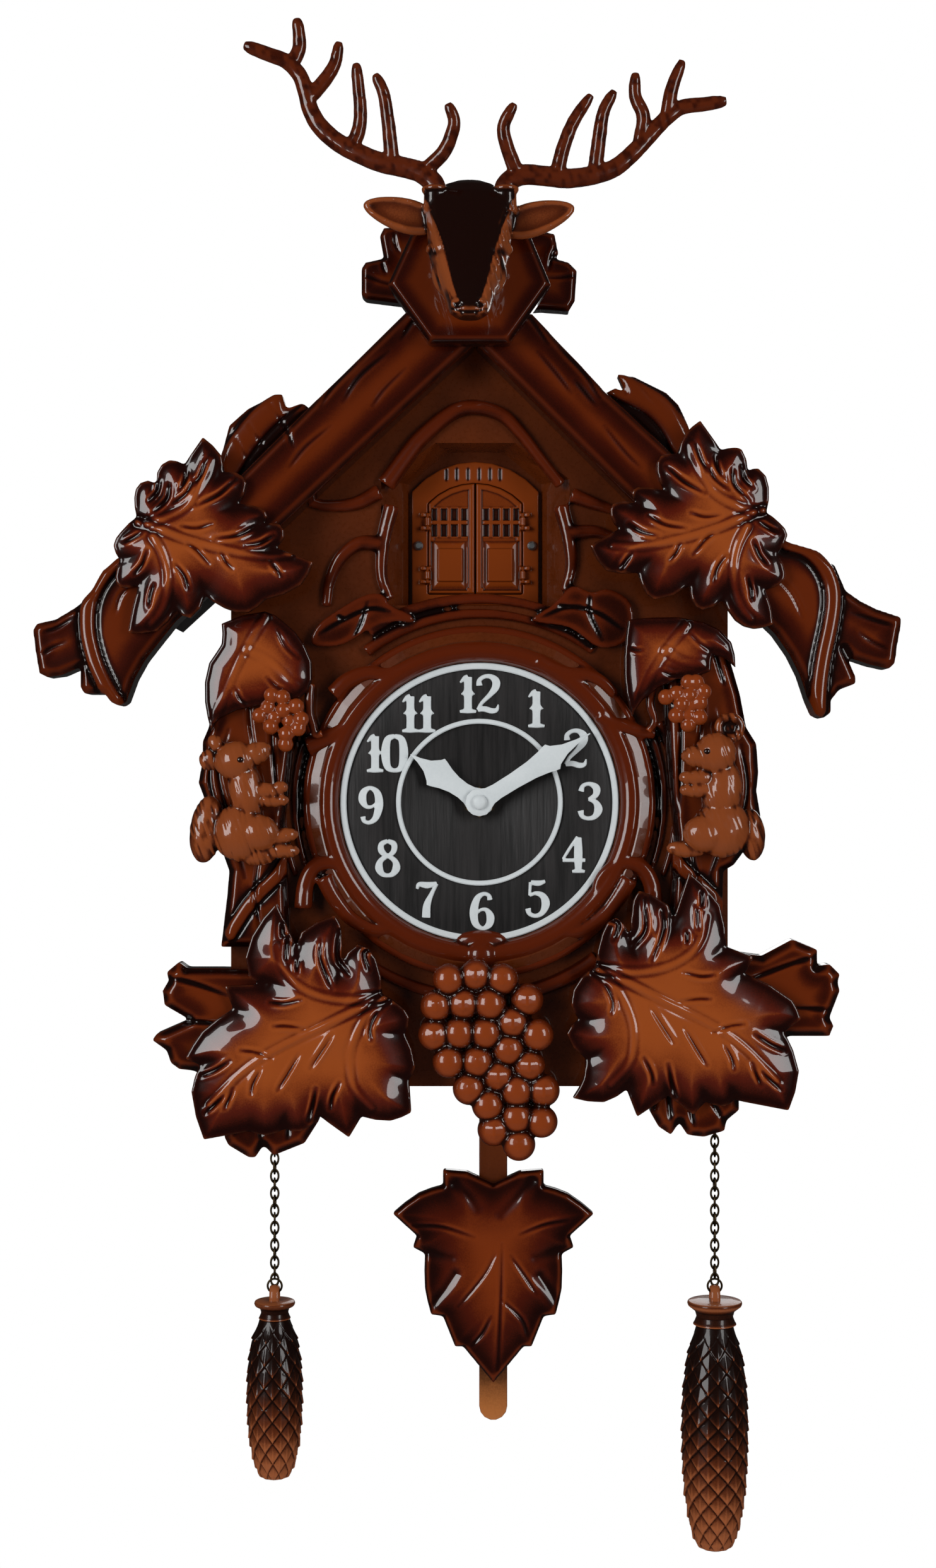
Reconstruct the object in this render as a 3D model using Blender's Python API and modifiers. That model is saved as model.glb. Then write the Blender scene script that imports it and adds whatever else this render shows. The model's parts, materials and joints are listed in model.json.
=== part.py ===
"""Wall-hung cuckoo clock with a stag's head, vine leaves, a swinging leaf pendulum and two cone weights.

The frame: origin at the wall hook's keyhole on the back face, +Z up, the wall at Y = 0 and the dial
facing -Y. Lengths are written in millimetres and pass through MM on their way to Blender's metres.
"""
import math

import bmesh
import bpy
from mathutils import Matrix, Vector

MM = 0.001
GAP = 0.3                    # between pieces that rest on each other
SHARP = 1                    # third value of an outline's point where two edges meet at a corner

# Depth planes, from the wall to the front
BACK_DEPTH = 40.0            # rear tray
FRONT_DEPTH = 22.0           # front shell
PANEL_Y = -BACK_DEPTH - FRONT_DEPTH      # outer face of the front shell
WALL = 2.5                   # wall of the two shells
BEAM_THICK = 19.5            # roof boards
TRUNK_THICK = 11.7
TWIG_THICK = 15.5
LEAF_THICK = 9.0
BEAM_Y = PANEL_Y - GAP - BEAM_THICK
TRUNK_Y = PANEL_Y - GAP - TRUNK_THICK
TWIG_Y = PANEL_Y - GAP - TWIG_THICK

# House-shaped case, seen from the front
CASE_HALF = 122.0
CASE_FOOT = -335.0
EAVE_Z = -80.0
RIDGE_Z = 32.0
ROOF_THICK = 6.0
ROOF_OVERHANG = 42.0         # how far the roof runs past the case wall, along the slope

# Dial and hands
DIAL_Z = -195.5
DIAL_R = 68.2
RING_W = 3.1
CHAPTER_R = 40.8
CHAPTER_W = 2.4
DIAL_THICK = 3.0
BEZEL_R = 85.0
BEZEL_H = 8.0
BUSH_R = 4.6                 # threaded bush of the movement
TUBE_R = 2.6                 # hour tube
SHAFT_R = 1.4                # minute shaft
MINUTE_LENGTH = 63.6
HOUR_LENGTH = 41.1
MINUTE_DEG = 58.1            # clockwise from twelve
HOUR_DEG = 304.8
MOVEMENT_SIDE = 56.0
MOVEMENT_DEPTH = 16.0

# Bird house in the gable
HOUSE_X = -2.0               # centre line of the doors
DOOR_W = 23.2
DOOR_FOOT = -91.7
DOOR_SIDE_Z = -47.0
DOOR_TOP_Z = -37.0
DOOR_THICK = 2.6
DOOR_FRONT = PANEL_Y + 15.2
HINGE_Y = DOOR_FRONT - 0.6
BARREL_R = 1.3
LUG_R = 1.5
LUG_STEP = 3.3               # from a hinge's middle to each of its two lugs
HINGE_LEVELS = {"lower": DOOR_FOOT + 9, "upper": DOOR_SIDE_Z - 9}
FRAME_FRONT = DOOR_FRONT + 1.0
FRAME_THICK = 2.5
FRAME_HALF = DOOR_W + 8.4
ALCOVE_FLOOR_HALF = FRAME_HALF + 1.4
ALCOVE_HALF = ALCOVE_FLOOR_HALF + 14.0
ALCOVE_FOOT = -99.0
ALCOVE_TOP = -37.0
SCREW_X = DOOR_W + 5.0       # from the doors' centre line
SCREW_Z = -68.0
BIRD_Z = -76.0
BIRD_TIP_Y = PANEL_Y + 23.0

# Pendulum
PENDULUM_X = 7.0
PIVOT_Z = -240.0
ROD_W = 14.0
ROD_THICK = 3.0
ROD_FRONT = PANEL_Y + 17.3
ROD_FOOT = -504.0
SWING_GAP = 12.5             # free space at each side of the rod in the case floor

# Weights on chains
CHAIN_X = {"left": -104.0, "right": 120.0}
WEIGHT_Y = -22.0
HOOK_Z = -341.0              # wire centre of the hook's lowest point
WIRE_R = 0.65
LINK_PITCH = 7.35
LINK_HALF = 3.0
LINK_COUNT = 14              # even, so that the last link hangs across the cap's loop
CONES = {                    # radius, length, the cap's radius and its height
    "left": (14.9, 81.0, 10.4, 9.5),
    "right": (17.6, 114.0, 14.0, 12.5)}

# Keyhole in the back: the screw's shank rests at the origin, under the slot's closed end
KEY_HEAD_R = 4.5
KEY_SLOT_R = 2.1
KEY_DROP = 9.0

# Battery bay, in the back
BAY_Z = -297.0
CELL_R = 16.2
CELL_LENGTH = 60.0
BAY_HALF_W = 2 * CELL_R + 3.6
BAY_HALF_H = CELL_LENGTH / 2 + 2.5
BAY_X = -16.0 - BAY_HALF_W   # its inner side stays clear of the pendulum's drive
SPEAKER_X = 78.0             # clear of the battery bay
COVER_GAP = 0.4

# Controls on the sound board
BOARD_X = 75.0
BOARD_Z = -150.0
BOARD_Y = -14.0


def clear_scene():
    for thing in list(bpy.data.objects):
        bpy.data.objects.remove(thing, do_unlink=True)


clear_scene()
clock = bpy.data.collections.new("cuckoo_clock")
cutters = bpy.data.collections.new("cutters")
bpy.context.scene.collection.children.link(clock)
bpy.context.scene.collection.children.link(cutters)


def material(name, colour, roughness, metallic=0.0):
    made = bpy.data.materials.new(name)
    made.use_nodes = True
    shader = made.node_tree.nodes["Principled BSDF"]
    shader.inputs["Base Color"].default_value = (*colour, 1.0)
    shader.inputs["Roughness"].default_value = roughness
    shader.inputs["Metallic"].default_value = metallic
    return made


BROWN = material("brown_gloss", (0.22, 0.055, 0.018), 0.22)
DARK = material("dark_brown", (0.06, 0.014, 0.006), 0.25)
TAN = material("tan_gloss", (0.35, 0.11, 0.035), 0.3)
BLACK = material("black_plastic", (0.02, 0.02, 0.02), 0.5)
DIAL = material("dial_face", (0.035, 0.032, 0.03), 0.6)
WHITE = material("white_plastic", (0.8, 0.83, 0.84), 0.35)
STEEL = material("steel", (0.5, 0.5, 0.5), 0.3, 1.0)
CHAIN = material("chain_bronze", (0.12, 0.1, 0.07), 0.4, 1.0)
BOARD = material("circuit_board", (0.03, 0.14, 0.06), 0.5)
CELL = material("battery_wrap", (0.1, 0.1, 0.12), 0.35)


# Helpers: every one takes millimetres and returns an object in the clock's collection

def settle(obj, name, finish):
    obj.name = name
    for holder in list(obj.users_collection):
        holder.objects.unlink(obj)
    clock.objects.link(obj)
    obj.data.materials.clear()
    obj.data.materials.append(finish)
    return obj


def apply_scale(obj):
    bpy.ops.object.select_all(action="DESELECT")
    obj.select_set(True)
    bpy.context.view_layer.objects.active = obj
    bpy.ops.object.transform_apply(location=False, rotation=False, scale=True)


def box(name, low, high, finish):
    middle = [(a + b) / 2 * MM for a, b in zip(low, high)]
    size = [abs(b - a) * MM for a, b in zip(low, high)]
    bpy.ops.mesh.primitive_cube_add(size=1.0, location=middle, scale=size)
    made = settle(bpy.context.object, name, finish)
    apply_scale(made)
    return made


TURNS = {"X": (0, math.pi / 2, 0), "Y": (math.pi / 2, 0, 0), "Z": (0, 0, 0)}


def rod(name, centre, axis, radius, length, finish, sides=20, top=None):
    """A cylinder, or a cone when top gives the radius at its second end (-Y for axis Y)."""
    place = dict(location=[c * MM for c in centre], rotation=TURNS[axis])
    if top is None:
        bpy.ops.mesh.primitive_cylinder_add(
            vertices=sides, radius=radius * MM, depth=length * MM, **place)
    else:
        bpy.ops.mesh.primitive_cone_add(
            vertices=sides, radius1=radius * MM, radius2=top * MM, depth=length * MM, **place)
    made = settle(bpy.context.object, name, finish)
    made.data.shade_smooth()
    made.data.set_sharp_from_angle(angle=math.radians(40))
    return made


def ball(name, centre, radii, finish, tilt=(0, 0, 0), segments=10, rings=7):
    bpy.ops.mesh.primitive_uv_sphere_add(
        segments=segments, ring_count=rings, radius=MM, location=[c * MM for c in centre],
        rotation=[math.radians(t) for t in tilt], scale=radii)
    made = settle(bpy.context.object, name, finish)
    apply_scale(made)
    made.data.shade_smooth()
    return made


def meshed(curve_object):
    """Turns a curve into a closed mesh in the same place."""
    bpy.context.view_layer.update()
    graph = bpy.context.evaluated_depsgraph_get()
    data = bpy.data.meshes.new_from_object(curve_object.evaluated_get(graph))
    work = bmesh.new()
    work.from_mesh(data)
    bmesh.ops.remove_doubles(work, verts=work.verts, dist=1e-6)
    bmesh.ops.recalc_face_normals(work, faces=work.faces)
    work.to_mesh(data)
    work.free()
    name, matrix = curve_object.name, curve_object.matrix_world.copy()
    finish = curve_object.data.materials[0]
    old = curve_object.data
    bpy.data.objects.remove(curve_object)
    bpy.data.curves.remove(old)
    made = bpy.data.objects.new(name, data)
    made.matrix_world = matrix
    clock.objects.link(made)
    data.materials.clear()
    data.materials.append(finish)
    return made


def plate(name, outline, front, back, finish, steps=1):
    """A flat piece cut to an outline of (x, z) points, between two depths. With steps above 1 the
    outline is curved between its points, with corners at the SHARP ones."""
    curve = bpy.data.curves.new(name, "CURVE")
    curve.dimensions = "2D"
    curve.fill_mode = "BOTH"
    curve.extrude = abs(back - front) / 2 * MM
    curve.resolution_u = steps
    spline = curve.splines.new("BEZIER")
    spline.bezier_points.add(len(outline) - 1)
    for point, place in zip(spline.bezier_points, outline):
        sharp = steps == 1 or (len(place) > 2 and place[2] == SHARP)
        point.co = (place[0] * MM, place[1] * MM, 0)
        point.handle_left_type = point.handle_right_type = "VECTOR" if sharp else "AUTO"
    spline.use_cyclic_u = True
    curve.materials.append(finish)
    made = bpy.data.objects.new(name, curve)
    made.rotation_euler = (math.pi / 2, 0, 0)
    made.location = (0, (front + back) / 2 * MM, 0)
    clock.objects.link(made)
    return meshed(made)


def tube(name, points, radius, finish, taper=None, sides_level=1, closed=False):
    """A bent round bar along (x, y, z) points, with an optional share of the radius at each."""
    curve = bpy.data.curves.new(name, "CURVE")
    curve.dimensions = "3D"
    curve.bevel_depth = radius * MM
    curve.bevel_resolution = sides_level
    curve.use_fill_caps = not closed
    spline = curve.splines.new("POLY")
    spline.points.add(len(points) - 1)
    for i, (point, place) in enumerate(zip(spline.points, points)):
        point.co = (*[c * MM for c in place], 1)
        point.radius = taper[i] if taper else 1.0
    spline.use_cyclic_u = closed
    curve.materials.append(finish)
    made = bpy.data.objects.new(name, curve)
    clock.objects.link(made)
    return meshed(made)


def turned(name, profile, centre, axis, finish, steps=28, closed=True):
    """Turns (radius, height) points about an axis. Height runs along +axis, or towards -Y for
    axis Y. A closed profile makes a ring, and an open one starts and ends on the axis."""
    mesh = bpy.data.meshes.new(name)
    corners = [(r * MM, 0, h * MM) for r, h in profile]
    edges = [(i, i + 1) for i in range(len(corners) - 1)]
    if closed:
        edges.append((len(corners) - 1, 0))
    mesh.from_pydata(corners, edges, [])
    made = bpy.data.objects.new(name, mesh)
    clock.objects.link(made)
    mesh.materials.append(finish)
    made.location = [c * MM for c in centre]
    made.rotation_euler = TURNS[axis]
    screw = made.modifiers.new("turn", "SCREW")
    screw.steps = screw.render_steps = steps
    screw.use_merge_vertices = True
    screw.merge_threshold = 0.00005
    screw.use_smooth_shade = True
    return made


def helper(obj):
    """Hides an object that only cuts or joins another one."""
    clock.objects.unlink(obj)
    cutters.objects.link(obj)
    obj.hide_render = True
    obj.display_type = "WIRE"
    return obj


def combine(target, operation, others):
    for other in others:
        helper(other)
        modifier = target.modifiers.new(other.name, "BOOLEAN")
        modifier.operation = operation
        modifier.object = other
        modifier.solver = "EXACT"
    return target


def cut(target, *others):
    return combine(target, "DIFFERENCE", others)


def join(target, *others):
    return combine(target, "UNION", others)


def own_origin(obj, place):
    """Puts a moving piece's origin on its joint's axis without moving the piece."""
    bpy.context.view_layer.update()
    shift = Vector([c * MM for c in place])
    local = obj.matrix_world.inverted() @ shift
    obj.data.transform(Matrix.Translation(-local))
    obj.location = shift
    return obj


def circle(x, z, radius, count, start=0.0, sweep=360.0):
    turn = sweep / count if sweep == 360.0 else sweep / (count - 1)
    angles = [math.radians(start + turn * i) for i in range(count)]
    return [(x + radius * math.cos(a), z + radius * math.sin(a)) for a in angles]


def mirrored(points, about):
    return [(2 * about - p[0], *p[1:]) for p in points]


# Case: two shells that meet behind the front panel

def house(inset):
    """The case's outline, moved in by inset on every side."""
    slope = math.atan2(RIDGE_Z - EAVE_Z, CASE_HALF)
    drop = inset / math.cos(slope)
    side = CASE_HALF - inset
    eave = RIDGE_Z - drop - side * math.tan(slope)
    foot = CASE_FOOT + inset
    return [(-side, foot), (side, foot), (side, eave), (0, RIDGE_Z - drop), (-side, eave)]


def make_case_back():
    shell = plate("case_back", house(0), -BACK_DEPTH, 0, BLACK)
    cut(shell, plate("back_hollow", house(WALL), -BACK_DEPTH - 5, -WALL, BLACK))
    bay_low = (BAY_X - BAY_HALF_W, -WALL - 2, BAY_Z - BAY_HALF_H)
    bay_high = (BAY_X + BAY_HALF_W, 2, BAY_Z + BAY_HALF_H)
    cut(shell, box("bay_hole", bay_low, bay_high, BLACK))
    cut(shell,
        rod("key_head", (0, 0, -KEY_DROP), "Y", KEY_HEAD_R, 12, BLACK),
        box("key_slot", (-KEY_SLOT_R, -6, -KEY_DROP), (KEY_SLOT_R, 6, KEY_SLOT_R), BLACK),
        rod("set_hole", (0, 0, DIAL_Z), "Y", 14, 12, BLACK),
        rod("volume_hole", (BOARD_X + 14, 0, BOARD_Z), "Y", 8.6, 12, BLACK),
        box("switch_hole", (BOARD_X - 20, -6, BOARD_Z - 2.2), (BOARD_X - 9.6, 6, BOARD_Z + 2.2), BLACK))
    length = -BOARD_Y - GAP - 1
    for i, (dx, dz) in enumerate(((-24, 18), (24, -18))):
        join(shell, rod(f"board_post_{i}", (BOARD_X + dx, -1 - length / 2, BOARD_Z + dz), "Y", 3,
                        length, BLACK, sides=12))
    for side, x in CHAIN_X.items():
        ring = [(x, WEIGHT_Y + py, HOOK_Z + 3.2 + pz) for py, pz in circle(0, 0, 3.2, 10)]
        join(shell, tube(f"hook_{side}", ring, 0.8, STEEL, closed=True),
             rod(f"hook_stem_{side}", (x, WEIGHT_Y, CASE_FOOT + 0.6), "Z", 1.6, 2.4, BLACK, sides=10))
    return shell


def bezel_profile():
    low = -PANEL_Y - 1.0
    top = -PANEL_Y + BEZEL_H
    return [(DIAL_R + 0.6, top - 3.5), (DIAL_R + 2.5, top - 1), (DIAL_R + 7, top - 2),
            (BEZEL_R - 6, top), (BEZEL_R - 2, top - 1.5), (BEZEL_R, top - 5), (BEZEL_R, low),
            (DIAL_R + 0.6, low)]


def make_case_front():
    rim = -BACK_DEPTH - GAP
    shell = plate("case_front", house(0), PANEL_Y, rim, BROWN)
    cut(shell, plate("front_hollow", house(WALL), PANEL_Y + 3, rim + 5, BROWN))
    floor = FRAME_FRONT + FRAME_THICK + GAP
    foot, top = ALCOVE_FOOT, ALCOVE_TOP + 18
    low, high = HOUSE_X - ALCOVE_HALF, HOUSE_X + ALCOVE_HALF
    boss = box("alcove_boss", (low - 1, PANEL_Y + 1, foot - 6), (high + 1, floor + 2, top + 2), BROWN)
    combine(boss, "INTERSECT", [plate("under_roof", house(1), PANEL_Y - 1, floor + 4, BROWN)])
    join(shell, boss)
    for sign in (-1, 1):
        cut(shell, rod(f"screw_seat_{sign}", (HOUSE_X + sign * SCREW_X, floor, SCREW_Z), "Y", 1.4, 8,
                       BROWN, sides=10))
    cut(shell, make_alcove_cutter(low, high, foot, floor),
        plate("bird_window", door_hole(0.8), floor - 3, rim + 3, BROWN),
        rod("bush_hole", (0, PANEL_Y, DIAL_Z), "Y", BUSH_R + GAP, 20, BROWN),
        box("pendulum_slot", (PENDULUM_X - ROD_W / 2 - SWING_GAP, ROD_FRONT - 3, CASE_FOOT - 3),
            (PENDULUM_X + ROD_W / 2 + SWING_GAP, rim + 5, CASE_FOOT + WALL + 3), BROWN))
    join(shell, turned("bezel", bezel_profile(), (0, 0, DIAL_Z), "Y", BROWN, steps=40))
    return shell


def make_alcove_cutter(low, high, foot, floor):
    """A pocket that narrows from the panel to its floor, with a pointed arch above the doors."""
    mouth = [(low, foot), (high, foot), (high, ALCOVE_TOP), (HOUSE_X + 20, ALCOVE_TOP + 18),
             (HOUSE_X - 20, ALCOVE_TOP + 18), (low, ALCOVE_TOP)]
    left, right = HOUSE_X - ALCOVE_FLOOR_HALF, HOUSE_X + ALCOVE_FLOOR_HALF
    inner = [(left, foot + 0.5), (right, foot + 0.5), (right, ALCOVE_TOP), (HOUSE_X + 14, ALCOVE_TOP + 16),
             (HOUSE_X - 14, ALCOVE_TOP + 16), (left, ALCOVE_TOP)]
    work = bmesh.new()
    rings = [[work.verts.new((x * MM, y * MM, z * MM)) for x, z in ring]
             for ring, y in ((mouth, PANEL_Y - 1), (inner, floor))]
    count = len(mouth)
    work.faces.new(rings[0])
    work.faces.new(rings[1][::-1])
    for i in range(count):
        j = (i + 1) % count
        work.faces.new((rings[0][i], rings[1][i], rings[1][j], rings[0][j]))
    bmesh.ops.recalc_face_normals(work, faces=work.faces)
    mesh = bpy.data.meshes.new("alcove")
    work.to_mesh(mesh)
    work.free()
    pocket = bpy.data.objects.new("alcove", mesh)
    clock.objects.link(pocket)
    mesh.materials.append(BROWN)
    return pocket


# Bird house: frame, doors, bird and its drive

def arch(half, side_z, top_z, grow=0.0, count=9):
    """Points of a round-topped opening's upper edge, right to left, about x = 0."""
    rise = top_z - side_z
    radius = (half * half + rise * rise) / (2 * rise)
    reach = math.degrees(math.asin(half / radius))
    return circle(0, top_z - radius, radius + grow, count, 90 - reach, 2 * reach)


def door_hole(margin):
    half = DOOR_W + margin
    top = [(HOUSE_X + x, z) for x, z in arch(half, DOOR_SIDE_Z + margin, DOOR_TOP_Z + margin)]
    return [(HOUSE_X - half, DOOR_FOOT - margin), (HOUSE_X + half, DOOR_FOOT - margin), *top]


def make_door(side):
    sign = -1 if side == "left" else 1
    inner = HOUSE_X + sign * 0.45
    outer = HOUSE_X + sign * DOOR_W
    top = [p for p in arch(DOOR_W, DOOR_SIDE_Z, DOOR_TOP_Z) if p[0] * sign >= -0.01]
    top = [(HOUSE_X + (x if abs(x) > 0.45 else sign * 0.45), z) for x, z in top]
    if side == "right":
        outline = [(inner, DOOR_FOOT), (outer, DOOR_FOOT), *top]
    else:
        outline = [(outer, DOOR_FOOT), (inner, DOOR_FOOT), *top]
    door = plate(f"door_{side}", outline, DOOR_FRONT, DOOR_FRONT + DOOR_THICK, TAN)
    axis_x = outer + sign * 0.6
    for level, z in HINGE_LEVELS.items():
        for end in (-1, 1):
            cut(door, rod(f"door_notch_{side}_{level}_{end}", (axis_x, HINGE_Y, z + end * LUG_STEP), "Z",
                          LUG_R + 0.5, 2.6, TAN, sides=16))
        join(door, rod(f"barrel_{side}_{level}", (axis_x, HINGE_Y, z), "Z", BARREL_R, 4, TAN, sides=10),
             rod(f"pin_{side}_{level}", (axis_x, HINGE_Y, z), "Z", 0.6, 7, TAN, sides=8))
    panel_x = HOUSE_X + sign * (DOOR_W / 2 + 0.8)
    join(door, box(f"door_panel_{side}", (panel_x - 6, DOOR_FRONT - 0.9, DOOR_FOOT + 6),
                   (panel_x + 6, DOOR_FRONT + 0.6, DOOR_FOOT + 22), TAN))
    return own_origin(door, (axis_x, HINGE_Y, 0))


def make_door_frame():
    half = FRAME_HALF
    foot, side_z = DOOR_FOOT - 6, DOOR_SIDE_Z + 6
    top = [(HOUSE_X + x, z) for x, z in arch(half, side_z, DOOR_TOP_Z + 11)]
    outline = [(HOUSE_X - half, foot), (HOUSE_X + half, foot), *top]
    back = FRAME_FRONT + FRAME_THICK
    frame = plate("door_frame", outline, FRAME_FRONT, back, TAN)
    cut(frame, plate("door_opening", door_hole(0.4), FRAME_FRONT - 2, back + 2, TAN))
    for sign in (-1, 1):
        x = HOUSE_X + sign * (DOOR_W + 0.6)
        for level, z in HINGE_LEVELS.items():
            for end in (-1, 1):
                lug_z = z + end * LUG_STEP
                join(frame, box(f"web_{sign}_{level}_{end}", (x + sign * 0.3, HINGE_Y - 1.2, lug_z - 0.9),
                                (x + sign * 3.4, FRAME_FRONT + 0.6, lug_z + 0.9), TAN),
                     rod(f"lug_{sign}_{level}_{end}", (x, HINGE_Y, lug_z), "Z", LUG_R, 1.8, TAN, sides=16))
            cut(frame, rod(f"lug_bore_{sign}_{level}", (x, HINGE_Y, z), "Z", 0.9, 9.5, TAN, sides=8))
        cut(frame, rod(f"screw_hole_{sign}", (HOUSE_X + sign * SCREW_X, FRAME_FRONT, SCREW_Z), "Y", 1.4,
                       12, TAN, sides=10))
    return frame


def make_door_screw(side):
    x = HOUSE_X + (-SCREW_X if side == "left" else SCREW_X)
    shank = FRAME_THICK + GAP + 1.8
    head = [(0, shank + 1.7), (1.4, shank + 1.7), (2.3, shank + 0.9), (2.3, shank), (1.1, shank), (1.1, 0),
            (0, 0)]
    return turned(f"door_screw_{side}", head, (x, FRAME_FRONT - GAP + shank, SCREW_Z), "Y", STEEL, steps=12,
                  closed=False)


def make_bird():
    y = BIRD_TIP_Y
    bird = ball("cuckoo_bird", (HOUSE_X, y + 15, BIRD_Z), (6.5, 10.5, 7), TAN)
    join(bird,
         ball("bird_head", (HOUSE_X, y + 6.5, BIRD_Z + 6.5), (4.4, 4.8, 4.5), TAN, segments=8, rings=6),
         rod("bird_beak", (HOUSE_X, y + 1.8, BIRD_Z + 6), "Y", 1.5, 4.6, WHITE, sides=8, top=0.3),
         box("bird_tail", (HOUSE_X - 3, y + 22, BIRD_Z - 1), (HOUSE_X + 3, y + 30, BIRD_Z + 1.2), TAN),
         rod("bird_leg", (HOUSE_X, y + 15, BIRD_Z - 9), "Z", 1.8, 6.8, TAN, sides=10))
    return bird


def make_bird_carriage():
    top = BIRD_Z - 12.4 - GAP
    foot = DOOR_FOOT + 0.6
    return box("bird_carriage", (HOUSE_X - 5, BIRD_TIP_Y + 4, foot), (HOUSE_X + 5, BIRD_TIP_Y + 30, top), TAN)


def make_bird_motor():
    top = DOOR_FOOT + 0.6 - GAP
    low = (HOUSE_X - 20, BIRD_TIP_Y + 3, top - 24)
    return box("bird_motor", low, (HOUSE_X + 20, -WALL - GAP, top), BLACK)


# Dial, movement and hands

def make_dial():
    back = -PANEL_Y + GAP
    front = back + DIAL_THICK
    sunk = CHAPTER_R - CHAPTER_W
    turned("dial_plate", [(BUSH_R + GAP, back), (BUSH_R + GAP, front - 0.8), (sunk, front - 0.8),
                          (sunk, front), (DIAL_R, front), (DIAL_R, back)],
           (0, 0, DIAL_Z), "Y", DIAL, steps=40)
    for name, radius, width, height in (("dial_ring", DIAL_R, RING_W, 2.0),
                                        ("chapter_ring", CHAPTER_R, CHAPTER_W, 1.0)):
        low = front + GAP
        inner = radius - width
        turned(name, [(inner, low), (inner, low + height), (radius, low + height), (radius, low)],
               (0, 0, DIAL_Z), "Y", WHITE, steps=40)
    return front


def make_movement(dial_front):
    half = MOVEMENT_SIDE / 2
    front = PANEL_Y + 3 + GAP
    back = front + MOVEMENT_DEPTH
    body = box("movement", (-half, front, DIAL_Z - half), (half, back, DIAL_Z + half), BLACK)
    bush_top = dial_front + 2.4
    join(body, rod("bush", (0, (front + 1 - bush_top) / 2, DIAL_Z), "Y", BUSH_R,
                   bush_top + front + 1, STEEL))
    cut(body, rod("bush_bore", (0, -bush_top, DIAL_Z), "Y", TUBE_R + GAP, 22, STEEL))
    nut_low = dial_front - 0.8 + GAP
    nut = rod("shaft_nut", (0, -nut_low - 0.9, DIAL_Z), "Y", 7.4, 1.8, STEEL, sides=6)
    cut(nut, rod("nut_bore", (0, -nut_low, DIAL_Z), "Y", BUSH_R + GAP, 8, STEEL))
    return back, bush_top


def hand_outline(length, hub, waist, blade, deg):
    """A blade that swells like a spade near its tip, turned clockwise from twelve."""
    barb = length * 0.66
    rim = circle(0, 0, hub, 9, 180 - 35, 250)
    shape = [*rim, (waist, hub * 1.5), (waist * 0.7, barb * 0.6), (blade, barb),
             (blade * 0.42, barb + (length - barb) * 0.38), (0.5, length), (-0.5, length),
             (-blade * 0.42, barb + (length - barb) * 0.38), (-blade, barb),
             (-waist * 0.7, barb * 0.6), (-waist, hub * 1.5)]
    turn = math.radians(deg)
    return [(x * math.cos(turn) + z * math.sin(turn), DIAL_Z - x * math.sin(turn) + z * math.cos(turn))
            for x, z in shape]


def make_hands(bush_top):
    hour_low = bush_top + GAP
    hour = plate("hour_hand", hand_outline(HOUR_LENGTH, 6.6, 3.4, 6.8, HOUR_DEG),
                 -hour_low - 1.2, -hour_low, WHITE)
    join(hour, rod("hour_tube", (0, -hour_low + 4.9, DIAL_Z), "Y", TUBE_R, 10.2, STEEL))
    cut(hour, rod("hour_bore", (0, -hour_low, DIAL_Z), "Y", SHAFT_R + GAP, 30, STEEL, sides=16))
    minute_low = hour_low + 1.2 + 0.9
    minute = plate("minute_hand", hand_outline(MINUTE_LENGTH, 6.9, 3.6, 7.4, MINUTE_DEG),
                   -minute_low - 1.2, -minute_low, WHITE)
    join(minute, rod("minute_shaft", (0, -minute_low + 6, DIAL_Z), "Y", SHAFT_R, 13, STEEL, sides=16))
    cap_low = minute_low + 1.2 + GAP
    rod("hand_cap", (0, -cap_low - 1.1, DIAL_Z), "Y", 3.7, 2.2, WHITE, top=3.0)
    for hand in (hour, minute):
        own_origin(hand, (0, 0, DIAL_Z))


def make_set_knob(movement_back):
    start = -movement_back - GAP
    profile = [(0, start), (2.2, start), (2.2, 11), (8, 11), (8, 4), (0, 4)]
    return turned("set_knob", profile, (0, 0, DIAL_Z), "Y", BLACK, steps=16, closed=False)


# Pendulum

PENDULUM_LEAF = [
    (0, -385, SHARP), (-13, -379, SHARP), (-25, -378, SHARP), (-25, -386, SHARP), (-37, -390),
    (-50, -400, SHARP), (-38, -411, SHARP), (-40, -417, SHARP), (-34, -420, SHARP), (-34, -437),
    (-31, -450, SHARP), (-25, -451, SHARP), (-19, -466, SHARP), (-15, -466, SHARP), (0, -484, SHARP)]


def make_pendulum():
    drive_front = PANEL_Y + 3 + GAP
    drive_back = ROD_FRONT - GAP
    drive = box("pendulum_drive", (PENDULUM_X - 20, drive_front, PIVOT_Z - 24),
                (PENDULUM_X + 20, drive_back, PIVOT_Z + 13), BLACK)
    join(drive, rod("pivot_pin", (PENDULUM_X, drive_back + 1.5, PIVOT_Z), "Y", 1.5, 4.6, STEEL, sides=12))
    half = ROD_W / 2
    foot = circle(PENDULUM_X, ROD_FOOT + half, half, 8, 180, 180)
    head = circle(PENDULUM_X, PIVOT_Z + 2, half, 8, 0, 180)
    stick = plate("pendulum_rod", [*foot, *head], ROD_FRONT, ROD_FRONT + ROD_THICK, TAN)
    cut(stick, rod("pivot_hole", (PENDULUM_X, ROD_FRONT, PIVOT_Z), "Y", 1.5 + GAP, 10, TAN, sides=12))
    own_origin(stick, (PENDULUM_X, 0, PIVOT_Z))
    centre = PENDULUM_X
    left = [(centre + x, z, *rest) for x, z, *rest in PENDULUM_LEAF]
    right = mirrored(left[1:-1], centre)[::-1]
    leaf_back = ROD_FRONT - GAP
    leaf = plate("pendulum_leaf", [*left, *right], leaf_back - 9, leaf_back, DARK, steps=2)
    own_origin(leaf, (PENDULUM_X, 0, PIVOT_Z))


# Weights: chain, cap and cone

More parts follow.
